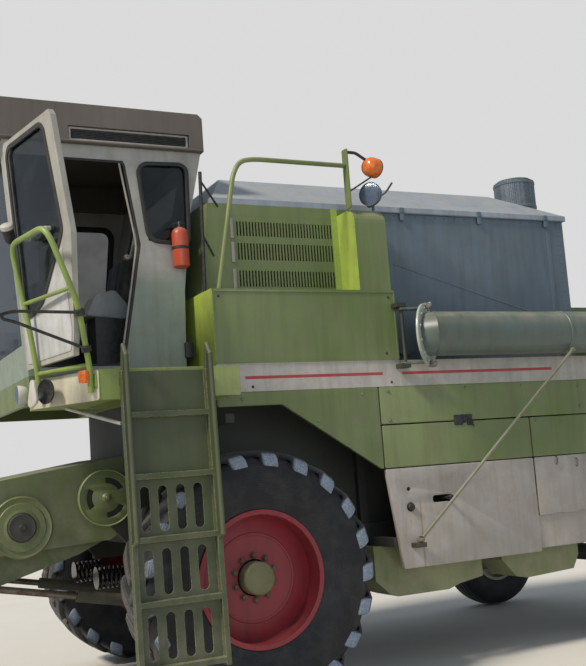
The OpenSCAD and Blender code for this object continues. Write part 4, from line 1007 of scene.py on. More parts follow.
# Slot band under the roof's edge: a dark grille in a light frame, on both sides, with the gutter below
roof_y = -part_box("cab_roof")[0].y
frame_hole = rounded(oblong(-0.93, 3.62, -0.15, 3.684), 0.006)
mesh = plate([rounded(oblong(-0.945, 3.607, -0.135, 3.697), 0.008), frame_hole], 0.01, 0.002)
pair("roof_vent_frame", mesh, rusty_white, place=outside(0, roof_y - 0.02, 0))
slat = plate([oblong(-0.925, -0.004, -0.155, 0.004)], 0.012, 0.002)
slats = [(slat, outside(0, roof_y - 0.022, 3.63 + 0.011 * k)) for k in range(5)]
pair("roof_vent_slats", joined(slats), black)
gutter = [at(x, 0.004 - roof_y, 3.598) for x in (-1.44, -0.035)]
pair("roof_gutter", wire(gutter, 0.008), roof_paint)

# Inside the cab
# The seat has a stuffed base in grey cloth and a back in black vinyl, and stands on a folded bellows.
# On its left are the instrument cowl over a box of valves, and on its right the hand levers.


def seat_cover(name, clean, dusty, thread, spots, depth, rough, sheen):
    """The cover of a stuffed pad. thread is its weave or grain in millimetres, drawn coarse to show."""
    weave = ("TexVoronoi", "Distance", {"Scale": grain(thread)}, {})
    surface = {"Roughness": rough, "Sheen Weight": sheen}
    relief = (0.4, depth)
    return weathered(name, clean, dusty, spots, surface, limits=(0.4, 0.75), relief=relief, pattern=weave)


# Black vinyl shines a little, and the grey cloth is matt and soft. Dust lies on both in patches
vinyl = seat_cover("black_vinyl_cloth", "#1d1e20", "#57534b", 4, 90, 0.0012, 0.55, 0.15)
grey_cloth = seat_cover("grey_seat_cloth", "#8d949b", "#6a6c6c", 3, 70, 0.001, 0.8, 0.3)


def cushion(width, depth, thick, crown):
    """A stuffed pad in its own X, Y and Z: crowned faces, sides pulled in between the corners, and a welt."""
    body = bmesh.new()
    bmesh.ops.create_grid(body, x_segments=18, y_segments=18, size=0.5)
    out = bmesh.ops.extrude_face_region(body, geom=body.faces[:])
    for v in [g for g in out["geom"] if isinstance(g, bmesh.types.BMVert)]:
        v.co.z = 1.0
    for v in body.verts:
        u, w = v.co.x * 2, v.co.y * 2
        pull = 1 - 0.05 * (1 - u * u) * abs(w) ** 6 - 0.05 * (1 - w * w) * abs(u) ** 6
        swell = (1 - abs(u) ** 4) * (1 - abs(w) ** 4)
        corner = 1 - 0.07 * (abs(u * w)) ** 3
        groove = -0.16 * math.exp(-(((abs(w) - 0.45) / 0.05) ** 2)) * swell
        side = 1 if v.co.z > 0.5 else -1
        height = thick * (0.5 + side * (0.32 + crown * swell + groove * 0.6))
        v.co = (u * width / 2 * pull * corner, w * depth / 2 * pull * corner, height)
    return baked(body, "cushion")


seat_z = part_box("seat")[0].z
pan_z = seat_z + 0.32
seat_x = at(-0.5, 0, 0).x
lean_back = Matrix.Rotation(math.radians(-80), 4, "Y")
base_spot = Matrix.Translation((seat_x, 0, pan_z - 0.005))
back_spot = Matrix.Translation((seat_x + 0.16, 0, pan_z + 0.36)) @ lean_back
for name, cover, depth, thick, spot in (
    ("seat_base_cushion", grey_cloth, 0.46, 0.14, base_spot),
    ("seat_back_cushion", vinyl, 0.47, 0.12, back_spot),
):
    pad = piece(name, cushion(0.44, depth, thick, 0.16), cover, ("seat",), place=spot)
    stuffing = pad.modifiers.new("stuffing", "SUBSURF")
    stuffing.levels = 1
    stuffing.render_levels = 1
bellows = [(0, 0), (0.17, 0), (0.17, 0.012)]
for k in range(7):
    bellows += [(0.168 if k % 2 else 0.148, 0.03 + 0.035 * k)]
bellows += [(0.165, 0.28), (0.175, 0.3), (0.175, 0.312), (0, 0.312)]
post_spot = Matrix.Translation((seat_x + 0.02, 0, seat_z))
piece("seat_post", turned(bellows, 40), black, place=post_spot)

dress(black, "steering_column")
# Instrument cowl in pale grey enamel, half matt, and the dark box of valves below it
cowl_grey = painted("grey_enamel_cowl", "#a2a9ae", "#8f969b", rough=0.45, dust=0.4, chips=0.4, dents=0.001)
cowl_side = [(-0.17, -0.1), (0.11, -0.12), (0.125, -0.02), (0.035, 0.085), (-0.1, 0.05)]
cowl = slab(cowl_side, 0.03, 0.24, 0.012)
piece("instrument_cowl", cowl, cowl_grey, place=outside(-0.61, 0.36, 2.63))
valves = slab(oblong(-0.12, -0.2, 0.12, 0.2), 0.02, 0.22, 0.008)
piece("valve_box", valves, black, place=outside(-0.6, 0.36, 2.35))
lever_grip = turned([(0, 0.03), (0.016, 0.024), (0.02, 0), (0.013, -0.022), (0, -0.026)], 20)
levers = []
for x, y, high in ((-0.62, 0.36, 0.32), (-0.7, 0.4, 0.26), (-0.78, 0.44, 0.22)):
    stick = [at(x, y, seat_z + 0.4), at(x - 0.02, y, seat_z + 0.5)]
    stick.append(at(x - 0.1, y - 0.03, seat_z + 0.5 + high))
    levers.append(wire(stick, 0.008, 0.05))
    levers.append((lever_grip, Matrix.Translation(at(x - 0.1, y - 0.03, seat_z + 0.515 + high))))
piece("cab_levers", joined(levers), black)
knob = turned([(0, 0.018), (0.014, 0.016), (0.02, 0.006), (0.02, -0.006), (0.012, -0.014), (0, -0.016)], 28)
piece("doorway_knob", knob, zinc, place=outside(-0.585, wall_y - 0.03, 2.86))

# Door
# The door hangs on the cab's slanted front post and stands open. Its frame is a pressing with a
# big rounded window in rubber, a white lower panel, and a grab handle on either face.

# Cream enamel, worn and half matt; the lower panel is a cleaner white
door_paint = painted(
    "cream_enamel_worn", "#b2b1a8", "#a09f97", rough=0.45, dust=0.3, chips=0.5, rust="#77553c", dents=0.002
)
dress(door_paint, "cab_door")
panel_white = painted("white_enamel_door", "#c3c5c6", "#b0b2b2", rough=0.4, dust=0.2, chips=0.5, dents=0.002)
lean = math.atan2(0.11, 1.49)
door_open = math.radians(78)
hinge = at(-1.25, -wall_y - 0.022, 2.1)
door_place = Matrix.Translation(hinge) @ Matrix.Rotation(-lean, 4, "Y") @ Matrix.Rotation(-door_open, 4, "Z")
DOOR_WIN = [(0.075, 0.345), (0.075, 1.345), (0.11, 1.385), (0.56, 1.385), (0.6, 1.35), (0.69, 0.74)]
DOOR_WIN += [(0.65, 0.69), (0.345, 0.395), (0.19, 0.345)]


def on_door(offset):
    """The door's own plane, moved off it by so much, towards the cab for a value over zero."""
    return door_place @ Matrix.Translation((0, offset, 0)) @ stand_up


for name, offset, wide in (("door_rubber_inner", 0.0128, 0.001), ("door_rubber_outer", -0.018, 0.02)):
    mesh = gasket(DOOR_WIN, wide, 0.008, lap=0.01, soft=0.002)
    piece(name, mesh, rubber, rides="door", place=on_door(offset))
panel = [(0.05, 0.06), (0.05, 0.315), (0.205, 0.315), (0.365, 0.366), (0.668, 0.66), (0.672, 0.165)]
mesh = slab(panel + [(0.635, 0.06)], 0.02, 0.004, 0.0015)
piece("door_lower_panel", mesh, panel_white, rides="door", place=on_door(-0.019))
foot_v = 0.018
handle = [(u, v, 0.73) for u, v in ((0.27, foot_v), (0.27, 0.06), (0.55, 0.06), (0.55, foot_v))]
handle = rounded(handle, 0.03, loop=False)
inner = [(u, foot_v + (v - foot_v) * 0.9, w) for u, v, w in handle]
outer = [(u, -v, w + 0.05) for u, v, w in inner]
piece("door_grab_handle", wire(inner, 0.009), zinc, rides="door", place=door_place)
piece("door_outer_handle", wire(outer, 0.013), panel_white, rides="door", place=door_place)

# Deck and guard rail
# The deck is tread plate on a folded edge, whose slanted front is cream. The guard rail is one tube
# bent to a loop, with a cross tube and a foot tube, and it is bolted to the deck by two flat feet.

# Tread plate: bright green where boots rub it, under much dust
tread = painted("green_tread_plate", "#7e9344", "#94a266", dust=0.6, chips=0.8)
dress(tread, "deck")

# Cream enamel on the slanted front edge, chipped by boots
cream_edge = painted("cream_enamel_edge", "#c4bfa8", "#b3b09c", chips=0.6)
front_cut = [(-1.25, -0.972), (-1.0, -1.532)]
run = Vector((front_cut[1][0] - front_cut[0][0], front_cut[1][1] - front_cut[0][1], 0))
outward = Vector((run.y, -run.x, 0)).normalized()
fascia = slab(oblong(0.0, 1.885, run.length, 2.058), 0.02, 0.006, 0.002)
start = at(*front_cut[0], 0) + outward * 0.0045
fascia_place = facing(start, outward)
if (fascia_place.to_3x3() @ Vector((1, 0, 0))).dot(run) < 0:
    fascia_place = facing(start + run, outward)
piece("deck_fascia", fascia, cream_edge, place=fascia_place)

legs = [(-1.2405, -1.0796), (-1.0472, -1.5125)]
loop_line = [(*legs[0], 1.93), (*legs[0], 2.066), (-1.295, -1.098, 2.41), (-1.378, -1.11, 2.85)]
loop_line += [(-1.3, -1.68, 2.83), (-1.125, -1.615, 2.42), (*legs[1], 2.066), (*legs[1], 1.93)]
parts = [
    wire([at(*p) for p in loop_line], 0.017, 0.11, 6, sides=4),
    wire([at(-1.3116, -1.1004, 2.498), at(-1.16, -1.628, 2.502)], 0.012),
    wire([at(*legs[0], 2.085), at(*legs[1], 2.085)], 0.014),
]
foot = slab(oblong(-0.028, 1.952, 0.028, 2.034), 0.01, 0.012)
for x, y in legs:
    parts.append((foot, facing(at(x, y, 0) - outward * 0.024, outward)))
    parts.append((bolt(0.022, 0.012), facing(at(x, y, 1.975) - outward * 0.018, outward)))
piece("guard_rail_tube", joined(parts), rail_green, ("guard_rail",))

# Mirrors
# On the left one bent rod is held by two clamps on the rail's outer post, and on the right two rods
# reach out from a plate on the cab. Each holds a flat black head with silvered glass.

low_at, high_at = at(-1.0705, -1.5433, 2.172), at(-1.1133, -1.5996, 2.367)
bend = [high_at, at(-1.46, -1.573, 2.378)]
bend += [at(x, -1.57, z) for x, z in ((-1.525, 2.362), (-1.525, 2.336), (-1.46, 2.32))] + [low_at]
offshoot = [at(x, -1.57, z) for x, z in ((-1.525, 2.349), (-1.6, 2.425), (-1.69, 2.425))]
cab_plate = slab(oblong(-0.035, -0.13, 0.035, 0.13), 0.012, 0.014)
clamp = sleeve(0.0175, 0.029, 0.018, 0.002, 28)
parts = [
    wire(bend, 0.009, 0.035, 6),
    wire(offshoot, 0.009, 0.03),
    (cab_plate, facing(at(-1.185, wall_y + 0.007, 2.4), (0, 1, 0))),
]
for spot in (low_at, high_at):
    parts.append((clamp, facing(spot, high_at - low_at)))
    parts.append((bolt(0.017, 0.012), facing(spot + Vector((-0.014, -0.024, 0.0)), OUT)))
for z0, z1 in ((2.3, 2.385), (2.5, 2.475)):
    parts.append(wire([at(-1.185, wall_y + 0.008, z0), at(-1.685, 1.57, z1)], 0.009))
piece("mirror_rods", joined(parts), black, ("mirrors",))

# Silvered glass: a cool mirror, blurred where dust has settled
silvered = weathered(
    "silvered_glass",
    "#aab2b6",
    "#aab2b6",
    60,
    {"Metallic": 1.0, "Roughness": (0.06, 0.4)},
    limits=(0.4, 0.75),
    relief=(0.1, 0.0005),
)
head = slab(oblong(-0.09, -0.175, 0.09, 0.175), 0.03, 0.032, 0.009)
face = slab(oblong(-0.076, -0.161, 0.076, 0.161), 0.022, 0.004, 0.001)
for hand, y in (("left", -1.57), ("right", 1.57)):
    head_spot, glass_spot = facing(at(-1.696, y, 2.425), BACK), facing(at(-1.6785, y, 2.425), BACK)
    piece(f"mirror_head_{hand}", head, black, ("mirrors",), place=head_spot)
    piece(f"mirror_glass_{hand}", face, silvered, place=glass_spot)

# Lamps and small fittings
# Small pressed or moulded cases, screwed or clamped to the rail, the deck's front, the cab and the
# hood's end. The fire extinguisher hangs in a strap on the cab's side, behind the doorway.

# White lamp cases: baked enamel, yellowed and dusty, hardly chipped
white_case = painted("white_lamp_case", "#c9c8c2", "#b7b5ad", dust=0.5, chips=0.2, dents=0.001)
rail_lamp_spot = facing(at(-1.383, -1.112, 2.9), (-0.35, -0.55, 0.85))
rail_case = turned([(0, -0.04), (0.022, -0.04), (0.034, -0.02), (0.036, 0.05), (0, 0.05)], 28)
rail_rim = turned([(0.036, 0.05), (0.038, 0.052), (0.038, 0.075), (0.03, 0.08), (0, 0.082)], 28)
piece("rail_lamp_case", rail_case, black, place=rail_lamp_spot)
side_lamp = slab(oblong(-0.045, -0.034, 0.02, 0.034), 0.01, 0.05, 0.006)
side_lamp_spot = facing(at(-1.04, -1.5, 2.02) + outward * 0.03, outward)
piece("side_lamp", side_lamp, amber, place=side_lamp_spot)
piece("rail_lamp_rim", rail_rim, white_case, place=rail_lamp_spot)
brace = wire([at(-1.066, -1.0, 1.882), at(-0.875, -1.49, 1.75)], 0.011)
piece("deck_brace", brace, white_case)

# Lamp on the deck's slanted front: a dark bowl behind a white shield
bowl_at = at(-1.185, -1.19, 1.97) + outward * 0.02
bowl = [(0, 0.0), (0.05, 0.004), (0.07, 0.02), (0.074, 0.034), (0.068, 0.034), (0.045, 0.016), (0, 0.012)]
piece("deck_lamp_bowl", turned(bowl, 40), black, place=facing(bowl_at, outward))
shield = [(-0.02, -0.085), (0.045, -0.05), (0.02, 0.075), (-0.012, 0.085), (-0.05, -0.06)]
shield = slab(shield, 0.025, 0.02, 0.006)
shield_at = bowl_at + outward * 0.05 + Vector((-0.05, 0.02, -0.01))
piece("deck_lamp_shield", shield, white_case, place=facing(shield_at, outward))

# Socket box at the foot of the cab's rear corner
socket = slab(oblong(-0.028, -0.052, 0.028, 0.052), 0.008, 0.03, 0.005)
piece("socket_box", socket, black, place=outside(-0.21, wall_y + 0.016, 2.24))

# Head lamps: white bowls with ribbed glass, below the cab's front corners
head_lamp_spot = facing(at(-1.25, 0.08 - wall_y, 1.99), FORWARD)
bowl = turned([(0.058, 0.06), (0.062, 0.05), (0.058, 0.02), (0.045, -0.01), (0.02, -0.03), (0, -0.034)], 40)
pair("headlamp_case", bowl, white_case, ("road_lamps",), place=head_lamp_spot)
disc = turned([(0, 0.066), (0.03, 0.064), (0.057, 0.058), (0.057, 0.052), (0, 0.052)], 40)
pair("headlamp_lens", disc, lamp_glass, place=head_lamp_spot)

# Tail lamps: red acrylic, glossy, with fine level ribs
red_lens = weathered(
    "red_acrylic",
    "#9c1c16",
    "#84382f",
    40,
    {"Roughness": 0.25},
    detail=4.0,
    relief=(0.4, 0.001),
    pattern=ribs(5.236, "Z"),
)
tail = slab(oblong(-0.055, -0.04, 0.055, 0.04), 0.015, 0.04, 0.006)
tail_spot = facing(Vector((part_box("road_lamps")[1].x - 0.021, 0.075 - 0.71, 1.6)), BACK)
pair("tail_lamp", tail, red_lens, place=tail_spot)

# Fire extinguisher: a small steel bottle in glossy orange red, with a black valve, strap and mount
orange = painted("orange_enamel", "#b53c1d", "#bd5230", rough=0.35, dust=0.3, chips=0.5, dents=0.0005)
bottle_lo, bottle_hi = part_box("extinguisher")
bottle_r = 0.055
bottle_spot = Matrix.Translation(((bottle_lo.x + bottle_hi.x) / 2, bottle_lo.y + bottle_r, bottle_lo.z))
bottle = [(0, 0.006), (0.04, 0.0), (0.052, 0.006), (bottle_r, 0.018), (bottle_r, 0.225), (0.05, 0.247)]
bottle += [(0.034, 0.262), (0.018, 0.268), (0.016, 0.272), (0, 0.272)]
piece("extinguisher_bottle", turned(bottle, 40), orange, ("extinguisher",), place=bottle_spot)
valve = turned([(0, 0.31), (0.01, 0.31), (0.014, 0.3), (0.014, 0.27), (0, 0.27)], 20)
grip = wire([(-0.045, 0, 0.29), (-0.02, 0, 0.3), (0.02, 0, 0.3)], 0.006, 0.01)
strap = turned([(0.0556, 0.12), (0.058, 0.121), (0.058, 0.139), (0.0556, 0.14)], 40)
mount = slab(oblong(-0.03, 0.04, 0.03, 0.2), 0.008, 0.008, 0.002)
hang = Matrix.Translation((0, bottle_hi.y - bottle_lo.y - bottle_r - 0.005, 0)) @ facing(Vector(), OUT)
mesh = joined([valve, grip, strap, (mount, hang)])
piece("extinguisher_valve", mesh, black, place=bottle_spot)

# Feeder
# A long steel trunk that hangs on the shaft behind it and lifts the crop from the cutting table.
# Its top is pale with dust. On its side run round guards, and coil springs carry its weight.

# Dark green enamel that a thick pale dust covers on top
feeder_green = painted(
    "green_enamel_under_dust", "#465428", "#59663a", dust=0.36, chips=0.6, soil="#b0a894"
)
dress(feeder_green, "feeder_housing")
dress(primer, "feeder_chain")


def arc(radius, start, stop, steps=14):
    """Points of an arc, with its angles in degrees."""
    turn = [math.radians(start + (stop - start) * k / steps) for k in range(steps + 1)]
    return [(radius * math.cos(a), radius * math.sin(a)) for a in turn]


# Rear guard: a green disc with three curved slots, glossier than the trunk, in a worn rim
green_guard = painted(
    "green_enamel_guard", "#4c5b2c", "#5d6a38", rough=0.4, dust=0.25, chips=0.8, dents=0.001
)
slot_turn = 62
slots = [arc(0.125, a, a + slot_turn) + arc(0.09, a + slot_turn, a) for a in (150, 28, 270)]
disc = plate([ring(0, 0, 0.172, 72)] + [rounded(slot, 0.008, 2) for slot in slots], 0.008, 0.002)
drum = turned([(0, 0.022), (0.012, 0.022), (0.02, 0.018), (0.03, 0.006), (0.05, 0.004), (0, 0.003)], 32)
guard_place = outside(-0.78, -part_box("feeder_drive")[0].y - 0.012, 1.33)
nut_place = guard_place @ Matrix.Translation((0, 0, 0.022))
mesh = joined([(disc, guard_place), (drum, guard_place), (bolt(0.026, 0.014), nut_place)])
piece("feeder_guard", mesh, green_guard, ("feeder_drive",), "feeder")
rim = turned([(0.163, -0.03), (0.168, 0.01), (0.173, 0.013), (0.176, 0.01), (0.175, -0.03)], 72)
piece("feeder_guard_rim", rim, dark_green, rides="feeder", place=guard_place)
shaft = turned([(0, 0.0), (0.022, 0.0), (0.022, -0.12), (0, -0.12)], 24)
behind = turned([(0, -0.035), (0.13, -0.035), (0.133, -0.05), (0, -0.05)], 48)
mesh = joined([shaft, behind])
piece("feeder_shaft_end", mesh, primer, rides="feeder", place=guard_place)

# Front hub: black enamel dulled by dust, in a shallow green dish and a collar
black_iron = painted("black_enamel_dusty", "#1a1c1a", "#2a2b27", rough=0.55, dust=0.12, chips=0.5)
dish_at = at(-1.29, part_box("feeder_housing")[0].y + 0.001, 1.19)
hub_place = facing(dish_at, OUT)
wheel = [(0, 0.05), (0.018, 0.05), (0.02, 0.036), (0.055, 0.03), (0.078, 0.034), (0.086, 0.03)]
wheel = turned(wheel + [(0.088, 0.004), (0.09, 0.0), (0, 0.0)], 48)
piece("feeder_front_hub", wheel, black_iron, rides="feeder", place=hub_place)
dish = [(0.19, 0), (0.19, 0.01), (0.182, 0.018), (0.172, 0.012), (0.12, 0.012), (0.105, 0.02), (0.09, 0.022)]
dish = turned(dish + [(0.09, 0)], 56)
piece("feeder_front_dish", dish, green_guard, rides="feeder", place=hub_place)
collar = turned([(0.088, 0.006), (0.145, 0.006), (0.15, 0.002), (0.15, 0), (0.088, 0)], 56)
collar_place = facing(dish_at + Vector((0, -0.012, 0)), OUT)
piece("feeder_front_collar", collar, green_guard, rides="feeder", place=collar_place)
lever_place = outside(-1.0, 0.575, 1.24)
lever = slab([(0, 0), (0.022, 0), (0.07, 0.16), (0.052, 0.165)], 0.006, 0.008, 0.002)
boss = turned([(0, 0.02), (0.014, 0.018), (0.016, 0), (0, 0)], 20)
parts = [(lever, lever_place @ Matrix.Scale(-1, 4, (1, 0, 0))), (boss, lever_place)]
piece("feeder_lever", joined(parts), rail_green, rides="feeder")

# Chromed rods of the lift cylinders: half bright under an oily brown film
chrome = weathered(
    "chromed_rod", "#6e665c", "#4b3f33", 60, {"Metallic": 0.7, "Roughness": (0.25, 0.65)}, limits=(0.45, 0.7)
)
dress(chrome, "lift_rod_left", "lift_rod_right")

# Float springs: dark oiled steel wire with sharp highlights, round a rod between two cups
spring_steel = weathered(
    "oiled_spring_steel", "#1c1c1e", "#4a4540", 25, {"Metallic": 0.6, "Roughness": 0.22}, relief=(0.3, 0.0005)
)
spring_from, spring_length, spring_r = -0.46, 0.185, 0.064
turns, steps = 6, 24
coil = []
for k in range(turns * steps + 1):
    a = k * math.tau / steps
    x = spring_from - spring_length * k / (turns * steps)
    coil.append((x, spring_r * math.cos(a), spring_r * math.sin(a)))
cup = turned([(0.016, 0), (0.072, 0), (0.074, 0.003), (0.074, 0.01), (0.016, 0.01)], 32)
parts = [wire(coil, 0.011), wire([(0, 0, 0), (-0.66, 0, 0)], 0.016)]
parts += [(cup, facing(Vector((x, 0, 0)), FORWARD)) for x in (-0.452, -0.65)]
spring_spot = Matrix.Translation(at(-0.09, -0.3, 0.8))
pair("float_spring", joined(parts), spring_steel, ("float_springs",), place=spring_spot)

# Front wheels
# Wide traction tyres on red dished rims. Each tyre has two rows of slanted lugs whose ends turn down over the
# shoulder, and those ends are painted pale blue grey as a highlight, where they catch the light.


def tyre_rubber(name, centre, radius, tread_depth, shoulder=0.0):
    """Vulcanised black rubber, dusted where the tread meets the ground, with fine moulding rings.
    Further than shoulder from the tyre's middle the lugs are painted pale blue grey: a painted highlight."""
    ring_gap = 0.01496
    made, tree = blank(name)
    place = add(tree, "TexCoord").outputs["Object"]
    arm = add(tree, "VectorMath", {0: place, 1: centre}, operation="SUBTRACT").outputs[0]
    across = add(tree, "SeparateXYZ", {0: arm}).outputs[1]
    arm = add(tree, "VectorMath", {0: arm, 1: (1.0, 0.0, 1.0)}, operation="MULTIPLY").outputs[0]
    away = add(tree, "VectorMath", {0: arm}, operation="LENGTH").outputs["Value"]
    cloud = {"Vector": place, "Scale": grain(110), "Detail": 7.0, "Roughness": 0.65}
    cloud = add(tree, "TexNoise", cloud).outputs[0]
    fine = {"Vector": place, "Scale": grain(9), "Detail": 4.0, "Roughness": 0.6}
    fine = add(tree, "TexNoise", fine).outputs[0]
    tread = {0: away, 1: radius - tread_depth * 1.3, 2: radius - tread_depth * 0.3, 4: 0.3}
    tread = add(tree, "MapRange", tread).outputs[0]
    spread = add(tree, "MapRange", {0: cloud, 1: 0.4, 2: 0.75, 4: 0.12}).outputs[0]
    dusty = add(tree, "Math", {0: tread, 1: spread}, operation="ADD").outputs[0]
    gritty = add(tree, "MapRange", {0: fine, 1: 0.35, 2: 0.6, 3: 0.55, 4: 1.1}).outputs[0]
    dusty = add(tree, "Math", {0: dusty, 1: gritty}, operation="MULTIPLY", use_clamp=True).outputs[0]
    tones = {0: dusty, 6: linear("#15171c"), 7: linear("#807d78")}
    tone = add(tree, "Mix", tones, data_type="RGBA").outputs[2]
    if shoulder:
        # Painted highlight: the lug ends past the shoulder turn pale blue grey
        off = add(tree, "Math", {0: across}, operation="ABSOLUTE").outputs[0]
        lug_end_highlight = add(tree, "MapRange", {0: off, 1: shoulder - 0.012, 2: shoulder, 4: 0.85}).outputs[0]
        lug_end_highlight = add(tree, "Math", {0: lug_end_highlight, 1: gritty}, operation="MULTIPLY", use_clamp=True).outputs[0]
        tone = add(tree, "Mix", {0: lug_end_highlight, 6: tone, 7: linear("#8b98ab")}, data_type="RGBA").outputs[2]
    rings = add(tree, "Math", {0: away, 1: math.tau / ring_gap}, operation="MULTIPLY").outputs[0]
    rings = add(tree, "Math", {0: rings}, operation="SINE").outputs[0]
    relief = add(tree, "Math", {0: fine, 1: 1.5, 2: rings}, operation="MULTIPLY_ADD").outputs[0]
    skin = add(tree, "Bump", {"Strength": 0.35, "Distance": 0.0012, "Height": relief}).outputs[0]
    dull = add(tree, "MapRange", {0: dusty, 3: 0.5, 4: 0.92}).outputs[0]
    side = {"Base Color": tone, "Roughness": dull, "Normal": skin, "Specular IOR Level": 0.35}
    add(tree, "OutputMaterial", {"Surface": add(tree, "BsdfPrincipled", side).outputs[0]})
    return made


LUGS = 21
LUG_H = 0.034
half_w = (wheel_hi.y - wheel_lo.y) / 2
tyre_mid = (wheel_lo.y + wheel_hi.y) / 2
carcass_r = tyre_r - LUG_H


def tyre_mesh(flank, seat, steps):
    """A tyre about its axle: one flank as points of radius and half width, mirrored, and its seat."""
    whole = flank + [(r, -w) for r, w in reversed(flank) if w] + seat
    return joined([(turned(whole, steps), stand_up)])


def lug_mesh(side):
    """One lug: a bar from the middle of the tread out over the shoulder, as rings of a four-sided section."""
    # Along the lug: share of the way across, turn about the axle, share of the radius, half width in mm
    course = [(-0.03, -0.004, 1.0, 26), (0.12, 0.03, 1.0, 28), (0.32, 0.085, 0.999, 31)]
    course += [(0.52, 0.145, 0.997, 35), (0.72, 0.2, 0.993, 41), (0.88, 0.24, 0.984, 46)]
    course += [(0.955, 0.262, 0.966, 50), (0.985, 0.276, 0.935, 52), (0.985, 0.292, 0.885, 50)]
    body = bmesh.new()
    rings = []
    for across, turn, share, wide in course:
        top = (tyre_r * share, across)
        on_tread = across < 0.95
        foot = (carcass_r - 0.012, across) if on_tread else (top[0] - 0.03, across - 0.09)
        section = []
        for (r, y_share), spread in ((foot, 1.3), (top, 0.92), (top, -0.92), (foot, -1.3)):
            angle = turn + spread * wide / 1000 / tyre_r
            point = (r * math.sin(angle), side * y_share * half_w, r * math.cos(angle))
            section.append(body.verts.new(point))
        rings.append(section)
    for low, high in zip(rings, rings[1:]):
        for k in range(4):
            body.faces.new((low[k], low[(k + 1) % 4], high[(k + 1) % 4], high[k]))
    body.faces.new(rings[0])
    body.faces.new(rings[-1])
    bmesh.ops.recalc_face_normals(body, faces=body.faces)
    sharp = [e for e in body.edges if len(e.link_faces) == 2 and e.calc_face_angle() > 0.5]
    bmesh.ops.bevel(body, geom=sharp, offset=0.004, segments=1, affect="EDGES")
    return baked(body, "lug")


flank = [(0.402, 0.19), (0.43, 0.196), (0.47, 0.214), (0.52, 0.227), (0.575, 0.2325), (0.63, 0.23)]
flank += [(0.68, 0.222), (0.715, 0.206), (0.734, 0.18), (0.742, 0.12), (carcass_r, 0.05)]
carcass_mesh = tyre_mesh(flank, [(0.395, -0.17), (0.395, 0.17), (0.402, 0.19)], 120)
parts = []
for side, shift in ((1, 0.0), (-1, 0.5)):
    one = lug_mesh(side)
    parts += [(one, Matrix.Rotation((k + shift) * math.tau / LUGS, 4, "Y")) for k in range(LUGS)]
lugs_mesh = joined(parts)
for hand, y, mirror in (("left", tyre_mid, Matrix()), ("right", -tyre_mid, ACROSS)):
    centre = at(0, y, tyre_r)
    spot = Matrix.Translation(centre) @ mirror
    wheel, tyre = f"front_wheel_{hand}", (f"front_tyre_{hand}",)
    smooth_rubber = tyre_rubber(f"front_tyre_rubber_{hand}", centre, tyre_r, LUG_H)
    piece(f"front_tyre_carcass_{hand}", carcass_mesh, smooth_rubber, tyre, wheel, spot)
    lug_rubber = tyre_rubber(f"front_lug_rubber_{hand}", centre, tyre_r, LUG_H, 0.97 * half_w)
    piece(f"front_tyre_lugs_{hand}", lugs_mesh, lug_rubber, tyre, wheel, spot)

# Red enamel on the rims, chalky and softly shining, with little dust
rim_red = painted(
    "red_enamel_chalky", "#821526", "#902834", rough=0.42, dust=0.12, chips=0.5, soil="#84665c", dents=0.001
)
dress(rim_red, "front_rim_left", "front_rim_right")
disc_y = half_w - tyre_mid - 0.17
NUTS, nut_circle = 10, 0.135
nuts = []
for k in range(NUTS):
    a = (k + 0.5) * math.tau / NUTS
    x, z = nut_circle * math.cos(a), tyre_r + nut_circle * math.sin(a)
    nuts.append((bolt(0.034, 0.024), outside(x, disc_y - 0.0005, z)))
# The nuts are in a dark red brown enamel, much chipped
dark_nut_red = painted(
    "dark_red_enamel_chipped", "#4a1a20", "#5a2a26", rough=0.6, dust=0.25, chips=0.8, dents=0.0005
)
pair("wheel_nuts", joined(nuts), dark_nut_red, rides="front_wheel")
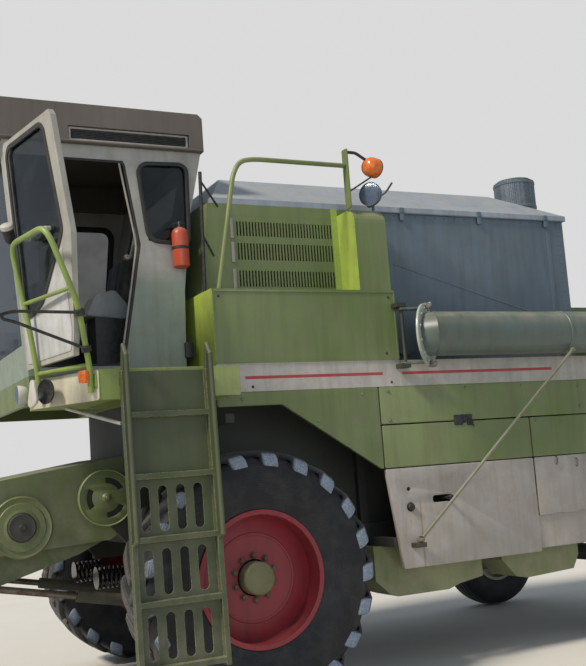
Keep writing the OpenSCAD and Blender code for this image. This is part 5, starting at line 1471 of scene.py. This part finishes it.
# Hub cap: dark olive enamel, half matt
hub_olive = painted("olive_enamel_dark", "#4b5029", "#5d6038", rough=0.55, dust=0.3, chips=0.5, dents=0.001)
hub = [(0, 0.098), (0.085, 0.098), (0.094, 0.094), (0.101, 0.084), (0.103, 0.0), (0.112, 0.0)]
hub.append((0.112, -0.004))
hub_place = outside(0, disc_y, tyre_r)
pair("hub_cap", turned(hub, 56), hub_olive, rides="front_wheel", place=hub_place)
step = turned([(0.255, 0.0), (0.262, 0.006), (0.27, 0.006), (0.277, 0.0)], 96)
step_place = outside(0, disc_y - 0.006, tyre_r)
pair("rim_rings", step, rim_red, rides="front_wheel", place=step_place)

# Rear wheels
# Small steered wheels: moulded rubber tyres with rings of ribs round the tread, on pressed disc rims
# that are painted cream and dusty.

small_lo, small_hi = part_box("rear_tyre_left")
rear_x, rear_mid, rear_r = (small_lo.x + small_hi.x) / 2, (small_lo.y + small_hi.y) / 2, small_hi.z / 2
flank = [(0.2157, 0.108), (0.235, 0.11), (0.26, 0.122), (0.33, 0.1345), (0.39, 0.13), (0.425, 0.116)]
flank += [(0.444, 0.098), (0.4455, 0.083), (0.43, 0.079), (0.43, 0.069), (0.452, 0.064), (0.455, 0.042)]
flank += [(0.434, 0.038), (0.434, 0.026), (0.4585, 0.02), (0.46, 0.0)]
ribbed_mesh = tyre_mesh(flank, [(0.2157, 0.108)], 96)
for hand, side in (("left", 1), ("right", -1)):
    centre = Vector((rear_x, side * rear_mid, rear_r))
    wheel, tyre, spot = f"rear_wheel_{hand}", (f"rear_tyre_{hand}",), Matrix.Translation(centre)
    rear_rubber = tyre_rubber(f"rear_tyre_rubber_{hand}", centre, rear_r, 0.02)
    piece(f"rear_tyre_tread_{hand}", ribbed_mesh, rear_rubber, tyre, wheel, spot)
rim_cream = painted("cream_enamel_wheels", "#b9b5a2", "#a5a291", dust=0.6, chips=0.5, dents=0.001)
dress(rim_cream, "rear_rim_left", "rear_rim_right")

# Straw walkers
# Long stepped troughs of galvanised sheet under the hood, which shake the straw out to the rear.
# The zinc is dull and pale grey, and deep in dust.

galvanised = painted("galvanised_steel", "#8b8d88", "#a09f98", rough=0.5, dust=0.7, chips=0.2)
dress(galvanised, "straw_walkers")
